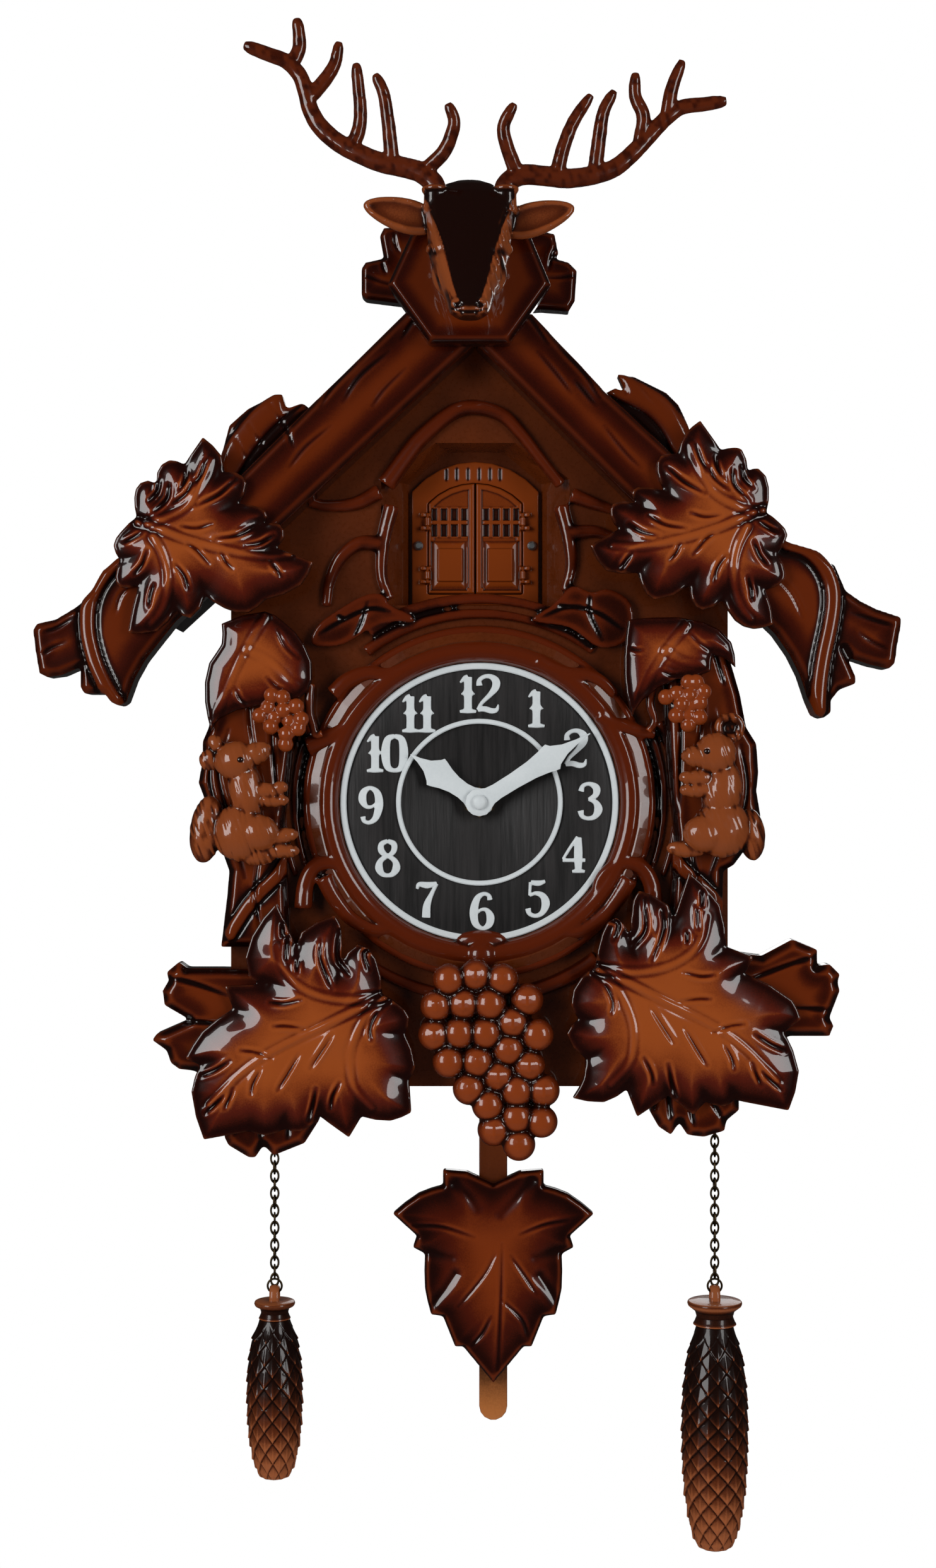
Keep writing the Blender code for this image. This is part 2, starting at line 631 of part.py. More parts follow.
def stadium(half_width, half_length, count=4):
    """A link's centre line about the origin, as (across, along)."""
    straight = half_length - half_width
    upper = circle(0, straight, half_width, count, 0, 180)
    lower = circle(0, -straight, half_width, count, 180, 180)
    return [*upper, *lower]


def make_chain(side):
    x = CHAIN_X[side]
    half_length = LINK_PITCH / 2 + WIRE_R * 0.75
    first = HOOK_Z + 0.8 + GAP + WIRE_R - half_length
    base = None
    for i in range(LINK_COUNT):
        z = first - i * LINK_PITCH
        flat = i % 2 == 0
        ring = [(x + a, WEIGHT_Y, z + b) if flat else (x, WEIGHT_Y + a, z + b)
                for a, b in stadium(LINK_HALF - WIRE_R, half_length)]
        link = tube(f"link_{side}_{i}", ring, WIRE_R, CHAIN, sides_level=0, closed=True)
        if base is None:
            base = link
            base.name = f"chain_{side}"
        else:
            join(base, link)
    own_origin(base, (x, WEIGHT_Y, HOOK_Z))
    return first - (LINK_COUNT - 1) * LINK_PITCH - half_length


def make_weight(side, link_foot):
    """link_foot is the height of the last link's lower wire."""
    x = CHAIN_X[side]
    radius, length, cap_r, cap_h = CONES[side]
    loop_r = 4.2
    wire = 1.3
    loop_z = link_foot + WIRE_R + GAP + wire - loop_r
    cap_foot = loop_z - loop_r + 0.4 - cap_h
    ring = [(x + a, WEIGHT_Y, loop_z + b) for a, b in circle(0, 0, loop_r, 12)]
    flare = [(0, cap_h), (cap_r - 1, cap_h), (cap_r, cap_h - 1.5), (cap_r * 0.8, cap_h * 0.35),
             (cap_r * 0.86, 0), (0, 0)]
    cap = turned(f"cone_cap_{side}", flare, (x, WEIGHT_Y, cap_foot), "Z", DARK, steps=20, closed=False)
    join(cap, tube(f"loop_{side}", ring, wire, TAN, closed=True))
    profile = [(0, 0), (0.66, 0), (0.80, 0.08), (0.96, 0.24), (1.0, 0.42), (0.95, 0.62), (0.78, 0.82),
               (0.52, 0.96), (0.40, 1.0), (0, 1.0)]
    cone = turned(f"cone_{side}", [(radius * r, -length * share) for r, share in profile],
                  (x, WEIGHT_Y, cap_foot - GAP), "Z", BROWN, steps=20, closed=False)
    return cone


# Roof boards, roof panels and the carved pieces on the front

ROOF_BEAM_LEFT = [
    (-2.2, 73), (-37, 40), (-83, -5), (-120, -42), (-150, -64), (-175, -78), (-182, -84), (-187, -93),
    (-195, -101), (-205, -107), (-214, -109), (-216, -112), (-215, -121), (-213, -133), (-209, -135),
    (-202, -134), (-193, -130), (-193, -140), (-191, -143), (-181, -143), (-178, -147), (-174, -149),
    (-171, -147), (-167, -136), (-162, -127), (-155, -118), (-147, -108), (-125, -88), (-94, -60),
    (-2.2, 26)]
ROOF_BEAM_RIGHT = [
    (-1.8, 73), (26, 40), (60, 4), (105, -38), (149, -70), (163, -74), (172, -81), (177, -93), (184, -98),
    (192, -102), (204, -106), (204, -109), (202, -120), (201, -128), (198, -131), (189, -129),
    (180, -126), (176, -121), (182, -135), (182, -138), (174, -141), (170, -146), (170, -152),
    (166, -155), (162, -153), (159, -146), (155, -134), (150, -124), (143, -114), (120, -92), (75, -51),
    (-1.8, 26)]
CHIP_LEFT = [(-128, -34), (-123, -16), (-122, -12), (-113, -4), (-100, 3), (-96, 3), (-94, -4),
             (-86, -1), (-80, -6), (-84, -30), (-112, -50)]
CHIP_RIGHT = [(58, 2), (66, 6), (71, 4), (67, 13), (75, 12), (91, 4), (97, -2), (102, -12), (107, -30),
              (84, -38), (66, -22)]
RIDGE_BOARD = [(-47, 87), (-49, 83), (-47, 72), (-56, 70), (-58, 67), (-58, 54), (-56, 52), (-40, 50),
               (-8, 46), (4, 46), (31, 47), (44, 46), (47, 51), (48, 66), (44, 70), (37, 72), (39, 74),
               (37, 84), (20, 88), (-30, 88)]
PLAQUE = [(-44, 52), (-33, 76), (-21, 90), (12, 90), (24, 76), (34, 52), (14, 24), (-24, 24)]

LEAF_UPPER_LEFT = [
    (-165, -58, SHARP), (-166, -49), (-163, -42), (-156, -42), (-154, -49, SHARP), (-155, -37),
    (-149, -31), (-142, -33, SHARP), (-133, -20, SHARP), (-124, -29), (-123, -37, SHARP), (-117, -37),
    (-112, -42), (-116, -52, SHARP), (-105, -54), (-102, -58), (-105, -62, SHARP), (-96, -62), (-94, -68),
    (-98, -73, SHARP), (-80, -80, SHARP), (-86, -91), (-103, -98, SHARP), (-111, -104), (-123, -102),
    (-132, -96, SHARP), (-139, -107), (-146, -103, SHARP), (-155, -113), (-169, -114, SHARP),
    (-167, -103), (-164, -91, SHARP), (-173, -92), (-175, -87), (-173, -79, SHARP), (-176, -72),
    (-172, -65)]
LEAF_UPPER_RIGHT = [
    (138, -56, SHARP), (139, -44), (134, -35), (129, -36, SHARP), (126, -26), (122, -25),
    (116, -26, SHARP), (106, -12, SHARP), (99, -18), (95, -28, SHARP), (87, -29), (85, -36),
    (89, -46, SHARP), (76, -44), (73, -47), (76, -52, SHARP), (64, -52), (63, -58), (67, -64, SHARP),
    (53, -72, SHARP), (61, -84), (76, -85, SHARP), (78, -91), (84, -98), (101, -91, SHARP), (102, -98),
    (107, -103), (117, -98, SHARP), (123, -108), (132, -112), (141, -110, SHARP), (140, -102),
    (137, -93, SHARP), (144, -91), (147, -86), (143, -76, SHARP), (148, -67), (144, -61)]
LEAF_LOWER_LEFT = [
    (-47, -288, SHARP), (-50, -271), (-59, -264), (-67, -274, SHARP), (-67, -255), (-70, -250, SHARP),
    (-86, -258), (-88, -266, SHARP), (-98, -244, SHARP), (-110, -260), (-111, -280), (-103, -283, SHARP),
    (-123, -284, SHARP), (-119, -295, SHARP), (-134, -306), (-142, -319, SHARP), (-135, -322, SHARP),
    (-139, -335), (-133, -358, SHARP), (-111, -354, SHARP), (-103, -356), (-94, -353, SHARP), (-86, -354),
    (-77, -347, SHARP), (-63, -357, SHARP), (-57, -347, SHARP), (-43, -349), (-33, -345, SHARP),
    (-34, -329, SHARP), (-31, -323), (-36, -307, SHARP), (-34, -299), (-39, -293)]
LEAF_LOWER_RIGHT = [
    (56, -275, SHARP), (59, -259), (66, -251), (73, -262, SHARP), (74, -243), (77, -238, SHARP),
    (91, -245), (93, -253, SHARP), (101, -229, SHARP), (116, -245), (119, -265, SHARP), (132, -270, SHARP),
    (128, -278, SHARP), (151, -291), (155, -300, SHARP), (147, -306, SHARP), (154, -325),
    (149, -344, SHARP), (123, -339, SHARP), (118, -342), (109, -340, SHARP), (103, -346, SHARP),
    (91, -337, SHARP), (76, -347, SHARP), (71, -334, SHARP), (60, -340), (45, -338, SHARP),
    (50, -329), (51, -319, SHARP), (42, -307), (48, -300, SHARP), (44, -293), (49, -280)]
LEAF_SMALL_LEFT = [(-104, -103), (-125, -109, SHARP), (-125, -119), (-131, -128), (-133, -147),
                   (-130, -161, SHARP), (-126, -155), (-109, -149), (-87, -145), (-81, -136), (-85, -119),
                   (-95, -108)]
LEAF_SMALL_RIGHT = [(84, -106), (72, -107, SHARP), (70, -125), (71, -143), (74, -154, SHARP), (79, -146),
                    (95, -136), (112, -132), (113, -124), (124, -130, SHARP), (122, -118), (108, -108)]
TRUNK_LEFT = [(-132, -159), (-135, -166), (-135, -175), (-137, -186), (-134, -194), (-128, -212),
              (-122, -229), (-123, -241), (-126, -266), (-92, -266), (-95, -206), (-91, -170),
              (-90, -112), (-120, -112), (-128, -130)]
TRUNK_RIGHT = [(127, -143), (130, -159), (135, -167), (136, -181), (135, -190), (137, -202), (136, -210),
               (124, -226), (119, -229), (118, -258), (92, -258), (95, -212), (91, -170), (88, -112),
               (118, -112)]
TWIG_LEFT = [(-95, -277), (-125, -276), (-142, -276), (-146, -273), (-152, -278), (-151, -282),
             (-154, -287), (-153, -294), (-141, -301), (-157, -308), (-159, -311), (-152, -316),
             (-150, -322), (-146, -325), (-138, -326), (-124, -340), (-124, -358), (-122, -362),
             (-112, -368), (-109, -368), (-105, -362), (-100, -367), (-85, -361), (-78, -350), (-80, -320)]
TWIG_RIGHT = [(95, -270), (122, -268), (137, -270), (152, -262), (164, -267), (164, -275), (170, -274),
              (175, -279), (174, -283), (175, -287), (170, -300), (172, -304), (170, -309), (167, -309),
              (150, -309), (126, -335), (126, -345), (120, -350), (119, -355), (109, -358), (101, -357),
              (97, -351), (93, -357), (87, -353), (83, -346), (86, -320)]


def roof_panel(side):
    slope = math.atan2(RIDGE_Z - EAVE_Z, CASE_HALF)
    along = Vector((math.cos(slope), -math.sin(slope)))
    out = Vector((math.sin(slope), math.cos(slope)))
    ridge = Vector((0, RIDGE_Z))
    length = CASE_HALF / math.cos(slope) + ROOF_OVERHANG
    inner, outer = ridge + out * GAP, ridge + out * (GAP + ROOF_THICK)
    start_in, start_out = -inner.x / along.x, -outer.x / along.x
    shape = [inner + along * start_in, inner + along * length, outer + along * length,
             outer + along * start_out]
    points = [(p.x + (0.2 if i in (0, 3) else 0), p.y) for i, p in enumerate(shape)]
    if side == "left":
        points = mirrored(points, 0)
    return plate(f"roof_panel_{side}", points, PANEL_Y, -2, BLACK)


def make_roof():
    for side, outline, chip in (("left", ROOF_BEAM_LEFT, CHIP_LEFT), ("right", ROOF_BEAM_RIGHT, CHIP_RIGHT)):
        beam = plate(f"roof_beam_{side}", outline, BEAM_Y, PANEL_Y - GAP, BROWN)
        join(beam, plate(f"chip_{side}", chip, BEAM_Y + 9, PANEL_Y - GAP - 1, BROWN))
        roof_panel(side)
    plate("ridge_board", RIDGE_BOARD, PANEL_Y, PANEL_Y + 12, BROWN)
    plate("head_plaque", PLAQUE, BEAM_Y - GAP - 12, BEAM_Y - GAP, BROWN)


def make_leaves():
    twig_front = TWIG_Y - GAP
    trunk_front = TRUNK_Y - GAP
    beam_front = BEAM_Y - GAP
    for name, outline, back in (("leaf_upper_left", LEAF_UPPER_LEFT, beam_front),
                                ("leaf_upper_right", LEAF_UPPER_RIGHT, beam_front),
                                ("leaf_lower_left", LEAF_LOWER_LEFT, twig_front),
                                ("leaf_lower_right", LEAF_LOWER_RIGHT, twig_front),
                                ("leaf_small_left", LEAF_SMALL_LEFT, trunk_front),
                                ("leaf_small_right", LEAF_SMALL_RIGHT, trunk_front)):
        small = "small" in name
        plate(name, outline, back - (6 if small else LEAF_THICK), back, BROWN, steps=2)
    for side, trunk, twig in (("left", TRUNK_LEFT, TWIG_LEFT), ("right", TRUNK_RIGHT, TWIG_RIGHT)):
        plate(f"trunk_{side}", trunk, TRUNK_Y, PANEL_Y - GAP, BROWN)
        plate(f"twig_{side}", twig, TWIG_Y, PANEL_Y - GAP, BROWN)


GRAPE_R = 6.8
GRAPES = [(-15, -281), (-2, -279), (11, -281), (-21, -294), (-8, -293), (5, -293), (23, -291), (-22, -308),
          (-10, -307), (3, -307), (16, -302), (28, -308), (-15, -321), (-1, -321), (14, -315), (24, -323),
          (-5, -334), (9, -328), (18, -335), (31, -335), (4, -342), (18, -348), (30, -350), (7, -354),
          (19, -361)]


def make_grapes():
    back = PANEL_Y - GAP
    core = plate("grape_bunch", [(-18, -284), (14, -284), (24, -292), (27, -310), (26, -326), (30, -338),
                                 (27, -350), (18, -357), (8, -352), (2, -340), (-8, -332), (-18, -320),
                                 (-21, -300)], back - 14, back, BROWN)
    centre_y = PANEL_Y - BEZEL_H - GAP - GRAPE_R - 0.8
    for i, (x, z) in enumerate(GRAPES):
        join(core, ball(f"grape_{i}", (x, centre_y, z), (GRAPE_R,) * 3, BROWN, segments=8, rings=5))
    return core


def carved(name, back, lumps, finish):
    """A small figure made of overlapping balls, cut flat where it sits on the piece behind."""
    figure = None
    for i, (x, z, depth, radii, tilt) in enumerate(lumps):
        part = ball(f"{name}_{i}", (x, back - depth, z), radii, finish, tilt=(0, tilt, 0),
                    segments=8, rings=6)
        if figure is None:
            figure = part
            figure.name = name
        else:
            join(figure, part)
    cut(figure, box(f"{name}_seat", (-CASE_HALF * 2, back, CASE_FOOT), (CASE_HALF * 2, 0, RIDGE_Z), finish))
    return figure


SQUIRREL_LEFT = [
    (-116, -213, 7, (12, 9, 14), 0), (-113, -193, 7, (9, 7, 14), -10), (-117, -175, 8, (10, 7, 8), -12),
    (-106, -172, 9, (6, 4, 4), -15), (-132, -210, 4, (7, 6, 17), 8), (-103, -193, 9, (9, 3, 3), -35),
    (-106, -212, 9, (8, 7, 7), 0), (-99, -219, 7, (11, 4, 4), -22), (-126, -170, 6, (5, 3, 4), 30)]
SQUIRREL_RIGHT = [
    (119, -210, 7, (13, 9, 12), 0), (117, -191, 7, (9, 7, 14), 10), (113, -172, 8, (10, 7, 9), 12),
    (102, -174, 9, (6, 4, 4), 5), (131, -211, 4, (6, 6, 10), 0), (107, -187, 9, (9, 4, 4), 25),
    (108, -214, 8, (8, 6, 8), 0), (101, -218, 7, (11, 4, 4), 20), (120, -160, 6, (5, 3, 7), 0)]


# Stag: head, ears and antlers

HEAD_X = -5.0
ANTLER_Y = PANEL_Y - 50.0
ANTLERS = {
    "left": [
        [(-21, 88, 0), (-21, 94, 0), (-27, 100, 0), (-35, 103, 1), (-47, 106, 2), (-58, 111, 3), (-68, 117, 4),
         (-76, 125, 4), (-80, 133, 4), (-82, 141, 3), (-85, 149, 3), (-91, 155, 2), (-99, 158, 1),
         (-112, 163, 0)],
        [(-26, 101, 0), (-17, 109, -4), (-13, 117, -8), (-12, 123, -10), (-15, 130, -12)],
        [(-41, 104, 1), (-42, 115, 0), (-43, 125, -1), (-45, 138, -2), (-49, 147, -3)],
        [(-61, 112, 3), (-57, 121, 2), (-56, 130, 1), (-57, 143, 0), (-58, 153, -1)],
        [(-81, 137, 4), (-73, 146, 3), (-68, 154, 2), (-66, 164, 1)],
        [(-89, 153, 3), (-85, 161, 3), (-85, 169, 2), (-86, 177, 1)]],
    "right": [
        [(12, 88, 0), (12, 94, 0), (19, 99, 0), (30, 99, 1), (41, 98, 2), (54, 100, 3), (64, 104, 4), (73, 112, 4),
         (82, 122, 4), (88, 128, 3), (95, 133, 3), (104, 134, 2), (117, 135, 0)],
        [(18, 99, 0), (13, 110, -6), (11, 120, -9), (16, 130, -12)],
        [(36, 99, 1), (39, 112, 0), (44, 125, -1), (52, 137, -3)],
        [(54, 101, 3), (56, 117, 2), (58, 130, 1), (63, 140, 0)],
        [(75, 114, 4), (77, 128, 3), (73, 138, 2), (73, 149, 1)],
        [(88, 127, 3), (90, 141, 2), (95, 155, 1)]]}


def make_antler(side):
    whole = None
    for number, line in enumerate(ANTLERS[side]):
        count = len(line)
        thick = 3.2 if number == 0 else 2.5
        taper = [1.0 - 0.5 * (i / (count - 1)) ** 1.5 for i in range(count)]
        if number:
            taper[-1] = 0.45
        bar = tube(f"tine_{side}_{number}", [(x, ANTLER_Y + y, z) for x, z, y in line], thick, BROWN,
                   taper=taper, sides_level=1)
        if whole is None:
            whole = bar
            whole.name = f"antler_{side}"
        else:
            join(whole, bar)
    return whole


def make_stag():
    x = HEAD_X
    neck_back = BEAM_Y - GAP - 12 - GAP
    head = rod("deer_head", (x, neck_back - 11, 58), "Y", 21, 22, BROWN, sides=14, top=17)
    muzzle = rod("muzzle", (x, neck_back - 39, 50), "Z", 7.5, 44, BROWN, sides=14, top=15)
    muzzle.rotation_euler = (math.radians(-30), 0, 0)
    join(head, ball("skull", (x, neck_back - 23, 73), (19, 17, 18), BROWN, segments=14, rings=9), muzzle,
         ball("nose", (x, neck_back - 50, 33), (8, 7.5, 8), BROWN, segments=12, rings=7))
    for side, sign in (("left", -1), ("right", 1)):
        stem_x, stem_foot = ANTLERS[side][0][0][:2]
        join(head, rod(f"pedicle_{side}", (stem_x, ANTLER_Y, stem_foot - 5), "Z", 5.4, 18, BROWN, sides=14),
             ball(f"ear_{side}", (x + sign * 33, ANTLER_Y + 4, 83), (18, 4.5, 7), BROWN,
                  tilt=(0, -sign * 26, 0), segments=12, rings=8),
             ball(f"ear_root_{side}", (x + sign * 17, ANTLER_Y, 77), (8, 7, 7), BROWN, segments=10, rings=7))
        cut(head, rod(f"socket_{side}", (stem_x, ANTLER_Y, stem_foot + 7.5), "Z", 3.7, 16, BROWN, sides=12))
    return head


# Power and sound

def make_electrics():
    wall = -WALL - GAP
    depth = 2 * CELL_R + 3.4
    outer = (BAY_HALF_W + 2, BAY_HALF_H + 2)
    bay = box("battery_box", (BAY_X - outer[0], wall - depth, BAY_Z - outer[1]),
              (BAY_X + outer[0], wall, BAY_Z + outer[1]), BLACK)
    cut(bay, box("bay_hollow", (BAY_X - BAY_HALF_W, wall - depth + 1.8, BAY_Z - BAY_HALF_H),
                 (BAY_X + BAY_HALF_W, wall + 2, BAY_Z + BAY_HALF_H), BLACK))
    for side, sign in (("left", -1), ("right", 1)):
        x = BAY_X + sign * (CELL_R + 0.5)
        y = wall - depth + 1.8 + GAP + CELL_R
        cell = rod(f"battery_{side}", (x, y, BAY_Z - 0.8), "Z", CELL_R, CELL_LENGTH, CELL, sides=20)
        join(cell, rod(f"battery_pip_{side}", (x, y, BAY_Z - 0.8 + CELL_LENGTH / 2 + 0.6), "Z", 4, 2,
                       STEEL, sides=12))
    box("battery_cover", (BAY_X - BAY_HALF_W + COVER_GAP, -WALL + 0.1, BAY_Z - BAY_HALF_H + COVER_GAP),
        (BAY_X + BAY_HALF_W - COVER_GAP, -0.2, BAY_Z + BAY_HALF_H - COVER_GAP), BLACK)
    box("sound_board", (BOARD_X - 30, BOARD_Y - 1.6, BOARD_Z - 24), (BOARD_X + 30, BOARD_Y, BOARD_Z + 24),
        BOARD)
    rod("speaker", (SPEAKER_X, PANEL_Y + 3 + GAP + 7, BAY_Z + 1), "Y", 18, 14, BLACK, sides=20, top=25)
    front = BOARD_Y + GAP
    turned("volume_knob", [(0, -front), (2.5, -front), (2.5, 4.5), (8, 4.5), (8, 0.6), (0, 0.6)],
           (BOARD_X + 14, 0, BOARD_Z), "Y", BLACK, steps=16, closed=False)
    switch = box("mode_switch", (BOARD_X - 19.6, -3.4, BOARD_Z - 1.8), (BOARD_X - 15, -0.6, BOARD_Z + 1.8),
                 BLACK)
    join(switch, box("switch_stem", (BOARD_X - 18.3, front, BOARD_Z - 1), (BOARD_X - 16.3, -2.8, BOARD_Z + 1),
                     BLACK))


def build():
    make_case_back()
    make_case_front()
    make_roof()
    make_leaves()
    make_grapes()
    carved("squirrel_left", TRUNK_Y - GAP, SQUIRREL_LEFT, TAN)
    carved("squirrel_right", TRUNK_Y - GAP, SQUIRREL_RIGHT, TAN)
    make_stag()
    make_door_frame()
    for side in ("left", "right"):
        make_antler(side)
        make_door(side)
        make_door_screw(side)
        make_weight(side, make_chain(side))
    make_bird()
    make_bird_carriage()
    make_bird_motor()
    movement_back, bush_top = make_movement(make_dial())
    make_hands(bush_top)
    make_set_knob(movement_back)
    make_pendulum()
    make_electrics()


build()
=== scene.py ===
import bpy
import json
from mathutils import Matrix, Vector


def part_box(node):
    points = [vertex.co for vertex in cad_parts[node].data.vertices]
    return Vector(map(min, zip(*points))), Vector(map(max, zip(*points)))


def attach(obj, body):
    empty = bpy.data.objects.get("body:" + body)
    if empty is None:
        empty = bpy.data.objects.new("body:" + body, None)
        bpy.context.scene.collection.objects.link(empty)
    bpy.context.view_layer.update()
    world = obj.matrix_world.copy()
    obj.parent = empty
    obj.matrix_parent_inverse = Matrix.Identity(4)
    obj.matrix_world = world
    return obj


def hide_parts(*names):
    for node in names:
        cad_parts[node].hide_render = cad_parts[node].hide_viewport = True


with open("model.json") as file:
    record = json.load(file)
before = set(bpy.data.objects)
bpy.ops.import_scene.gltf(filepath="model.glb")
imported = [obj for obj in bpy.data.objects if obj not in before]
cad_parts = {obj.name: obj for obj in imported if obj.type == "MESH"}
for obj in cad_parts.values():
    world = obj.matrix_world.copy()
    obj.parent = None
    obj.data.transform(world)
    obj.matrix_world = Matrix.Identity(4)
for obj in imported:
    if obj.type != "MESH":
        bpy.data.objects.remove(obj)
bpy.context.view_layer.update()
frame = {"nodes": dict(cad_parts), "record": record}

import json
import math

import bpy
import numpy as np
from mathutils import Vector

mm = 0.001
seed = np.random.RandomState(11)


# Picking and modifiers

def pickOnly(*objs):
    if bpy.context.mode != "OBJECT":
        bpy.ops.object.mode_set(mode="OBJECT")
    bpy.ops.object.select_all(action="DESELECT")
    for obj in objs:
        obj.select_set(True)
    bpy.context.view_layer.objects.active = objs[0]


def useModifier(obj, kind, **settings):
    pickOnly(obj)
    modifier = obj.modifiers.new(kind, kind)
    for key, value in settings.items():
        setattr(modifier, key, value)
    bpy.ops.object.modifier_apply(modifier=modifier.name)
    return obj


def joinPieces(name, pieces):
    pickOnly(*pieces)
    if len(pieces) > 1:
        bpy.ops.object.join()
    made = bpy.context.view_layer.objects.active
    made.name = name
    settlePlace(made)
    return made


def settlePlace(obj):
    pickOnly(obj)
    bpy.ops.object.transform_apply(location=True, rotation=True, scale=True)
    return obj


def newObject(name, data):
    made = bpy.data.objects.new(name, data)
    bpy.context.scene.collection.objects.link(made)
    return made


def nodeBox(node):
    return [Vector(corner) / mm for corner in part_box(node)]


def copyNode(name, node):
    made = newObject(name, frame["nodes"][node].data.copy())
    made.data.materials.clear()
    pickOnly(made)
    bpy.ops.mesh.customdata_custom_splitnormals_clear()
    bpy.ops.object.mode_set(mode="EDIT")
    bpy.ops.mesh.select_all(action="SELECT")
    bpy.ops.mesh.remove_doubles(threshold=2e-6)
    bpy.ops.object.mode_set(mode="OBJECT")
    return made


def meltTogether(obj, voxel, smoothing=4):
    useModifier(obj, "REMESH", mode="VOXEL", voxel_size=voxel * mm)
    if smoothing:
        useModifier(obj, "SMOOTH", factor=0.5, iterations=smoothing)
    return obj


def faceOutward(obj):
    pickOnly(obj)
    bpy.ops.object.mode_set(mode="EDIT")
    bpy.ops.mesh.select_all(action="SELECT")
    bpy.ops.mesh.remove_doubles(threshold=1e-6)
    bpy.ops.mesh.normals_make_consistent(inside=False)
    bpy.ops.object.mode_set(mode="OBJECT")
    return obj


def finishPiece(obj, body, finish, *nodes, slot=None, angle=None):
    settlePlace(obj)
    obj.data.materials.clear()
    obj.data.materials.append(finish)
    if angle:
        bpy.ops.object.shade_smooth_by_angle(angle=math.radians(angle))
    else:
        bpy.ops.object.shade_smooth()
    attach(obj, body)
    if nodes:
        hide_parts(*nodes)
    return obj


# Points of a mesh as arrays, in millimetres

def readPoints(obj):
    flat = np.empty(len(obj.data.vertices) * 3, np.float32)
    obj.data.vertices.foreach_get("co", flat)
    return flat.reshape(-1, 3).astype(float) / mm


def writePoints(obj, points):
    obj.data.vertices.foreach_set("co", (points * mm).astype(np.float32).ravel())
    obj.data.update()


def readNormals(obj):
    flat = np.empty(len(obj.data.vertices) * 3, np.float32)
    obj.data.vertex_normals.foreach_get("vector", flat)
    return flat.reshape(-1, 3).astype(float)


def storeValue(obj, name, values):
    layer = obj.data.attributes.get(name) or obj.data.attributes.new(name, "FLOAT", "POINT")
    layer.data.foreach_set("value", values.astype(np.float32))


def storeHollow(obj, rounds=10, depth=0.8):
    # 0.5 is flat, above it a crevice, below it a ridge
    points = readPoints(obj)
    ends = np.empty(len(obj.data.edges) * 2, np.int32)
    obj.data.edges.foreach_get("vertices", ends)
    ends = ends.reshape(-1, 2)
    both = np.concatenate([ends, ends[:, ::-1]])
    count = np.maximum(np.bincount(both[:, 0], minlength=len(points)), 1)
    soft = points
    for _ in range(rounds):
        soft = np.stack([np.bincount(both[:, 0], weights=soft[both[:, 1], k], minlength=len(points))
                         for k in range(3)], axis=1) / count[:, None]
    depthHere = ((soft - points) * readNormals(obj)).sum(axis=1)
    storeValue(obj, "hollow", np.clip(0.5 + 0.5 * depthHere / depth, 0, 1))


# Fields over the front plane

def ease(value):
    value = np.clip(value, 0, 1)
    return value * value * (3 - 2 * value)


noiseTable = np.random.RandomState(5).rand(256, 256)


def hump(value, wide):
    return np.exp(-(value / wide) ** 2)


def softNoise(u, v):
    iu, iv = np.floor(u).astype(int), np.floor(v).astype(int)
    fu, fv = ease(u - iu), ease(v - iv)
    pick = lambda a, b: noiseTable[a % 256, b % 256]
    low = pick(iu, iv) * (1 - fu) + pick(iu + 1, iv) * fu
    high = pick(iu, iv + 1) * (1 - fu) + pick(iu + 1, iv + 1) * fu
    return low * (1 - fv) + high * fv


def smoothLine(points, steps=6, loop=False):
    pts = [np.array(p, float) for p in points]
    if loop:
        pts = [pts[-1], *pts, pts[0], pts[1]]
    else:
        pts = [2 * pts[0] - pts[1], *pts, 2 * pts[-1] - pts[-2]]
    made = []
    for a, b, c, d in zip(pts, pts[1:], pts[2:], pts[3:]):
        for i in range(steps):
            t = i / steps
            made.append(0.5 * (2 * b + (c - a) * t + (2 * a - 5 * b + 4 * c - d) * t ** 2
                               + (3 * b - a - 3 * c + d) * t ** 3))
    if not loop:
        made.append(pts[-2])
    return np.array(made)


def lineDistance(px, pz, line):
    # distance to a drawn line, and how far along it the nearest point lies, 0 to 1
    best, along = np.full(len(px), 1e9), np.zeros(len(px))
    count = len(line) - 1
    for i in range(count):
        ax, az = line[i]
        dx, dz = line[i + 1][0] - ax, line[i + 1][1] - az
        size = max(dx * dx + dz * dz, 1e-9)
        t = np.clip(((px - ax) * dx + (pz - az) * dz) / size, 0, 1)
        dist = np.hypot(px - ax - t * dx, pz - az - t * dz)
        near = dist < best
        best[near] = dist[near]
        along[near] = (i + t[near]) / count
    return best, along


def frontRim(obj, level=None):
    # the boundary edges of the flat front of a merged copy, as rows of two (x, z) points
    mesh = obj.data
    points = readPoints(obj)
    front = points[:, 1].min() if level is None else level
    seen = {}
    for face in mesh.polygons:
        if face.normal.y < -0.9 and all(abs(points[v][1] - front) < 0.3 for v in face.vertices):
            for key in face.edge_keys:
                seen[key] = seen.get(key, 0) + 1
    edges = [key for key, times in seen.items() if times == 1]
    return np.array([[(points[a][0], points[a][2]), (points[b][0], points[b][2])] for a, b in edges])


def rimDistance(px, pz, rim):
    best = np.full(len(px), 1e9)
    for (ax, az), (bx, bz) in rim:
        dx, dz = bx - ax, bz - az
        size = max(dx * dx + dz * dz, 1e-9)
        t = np.clip(((px - ax) * dx + (pz - az) * dz) / size, 0, 1)
        best = np.minimum(best, np.hypot(px - ax - t * dx, pz - az - t * dz))
    return best


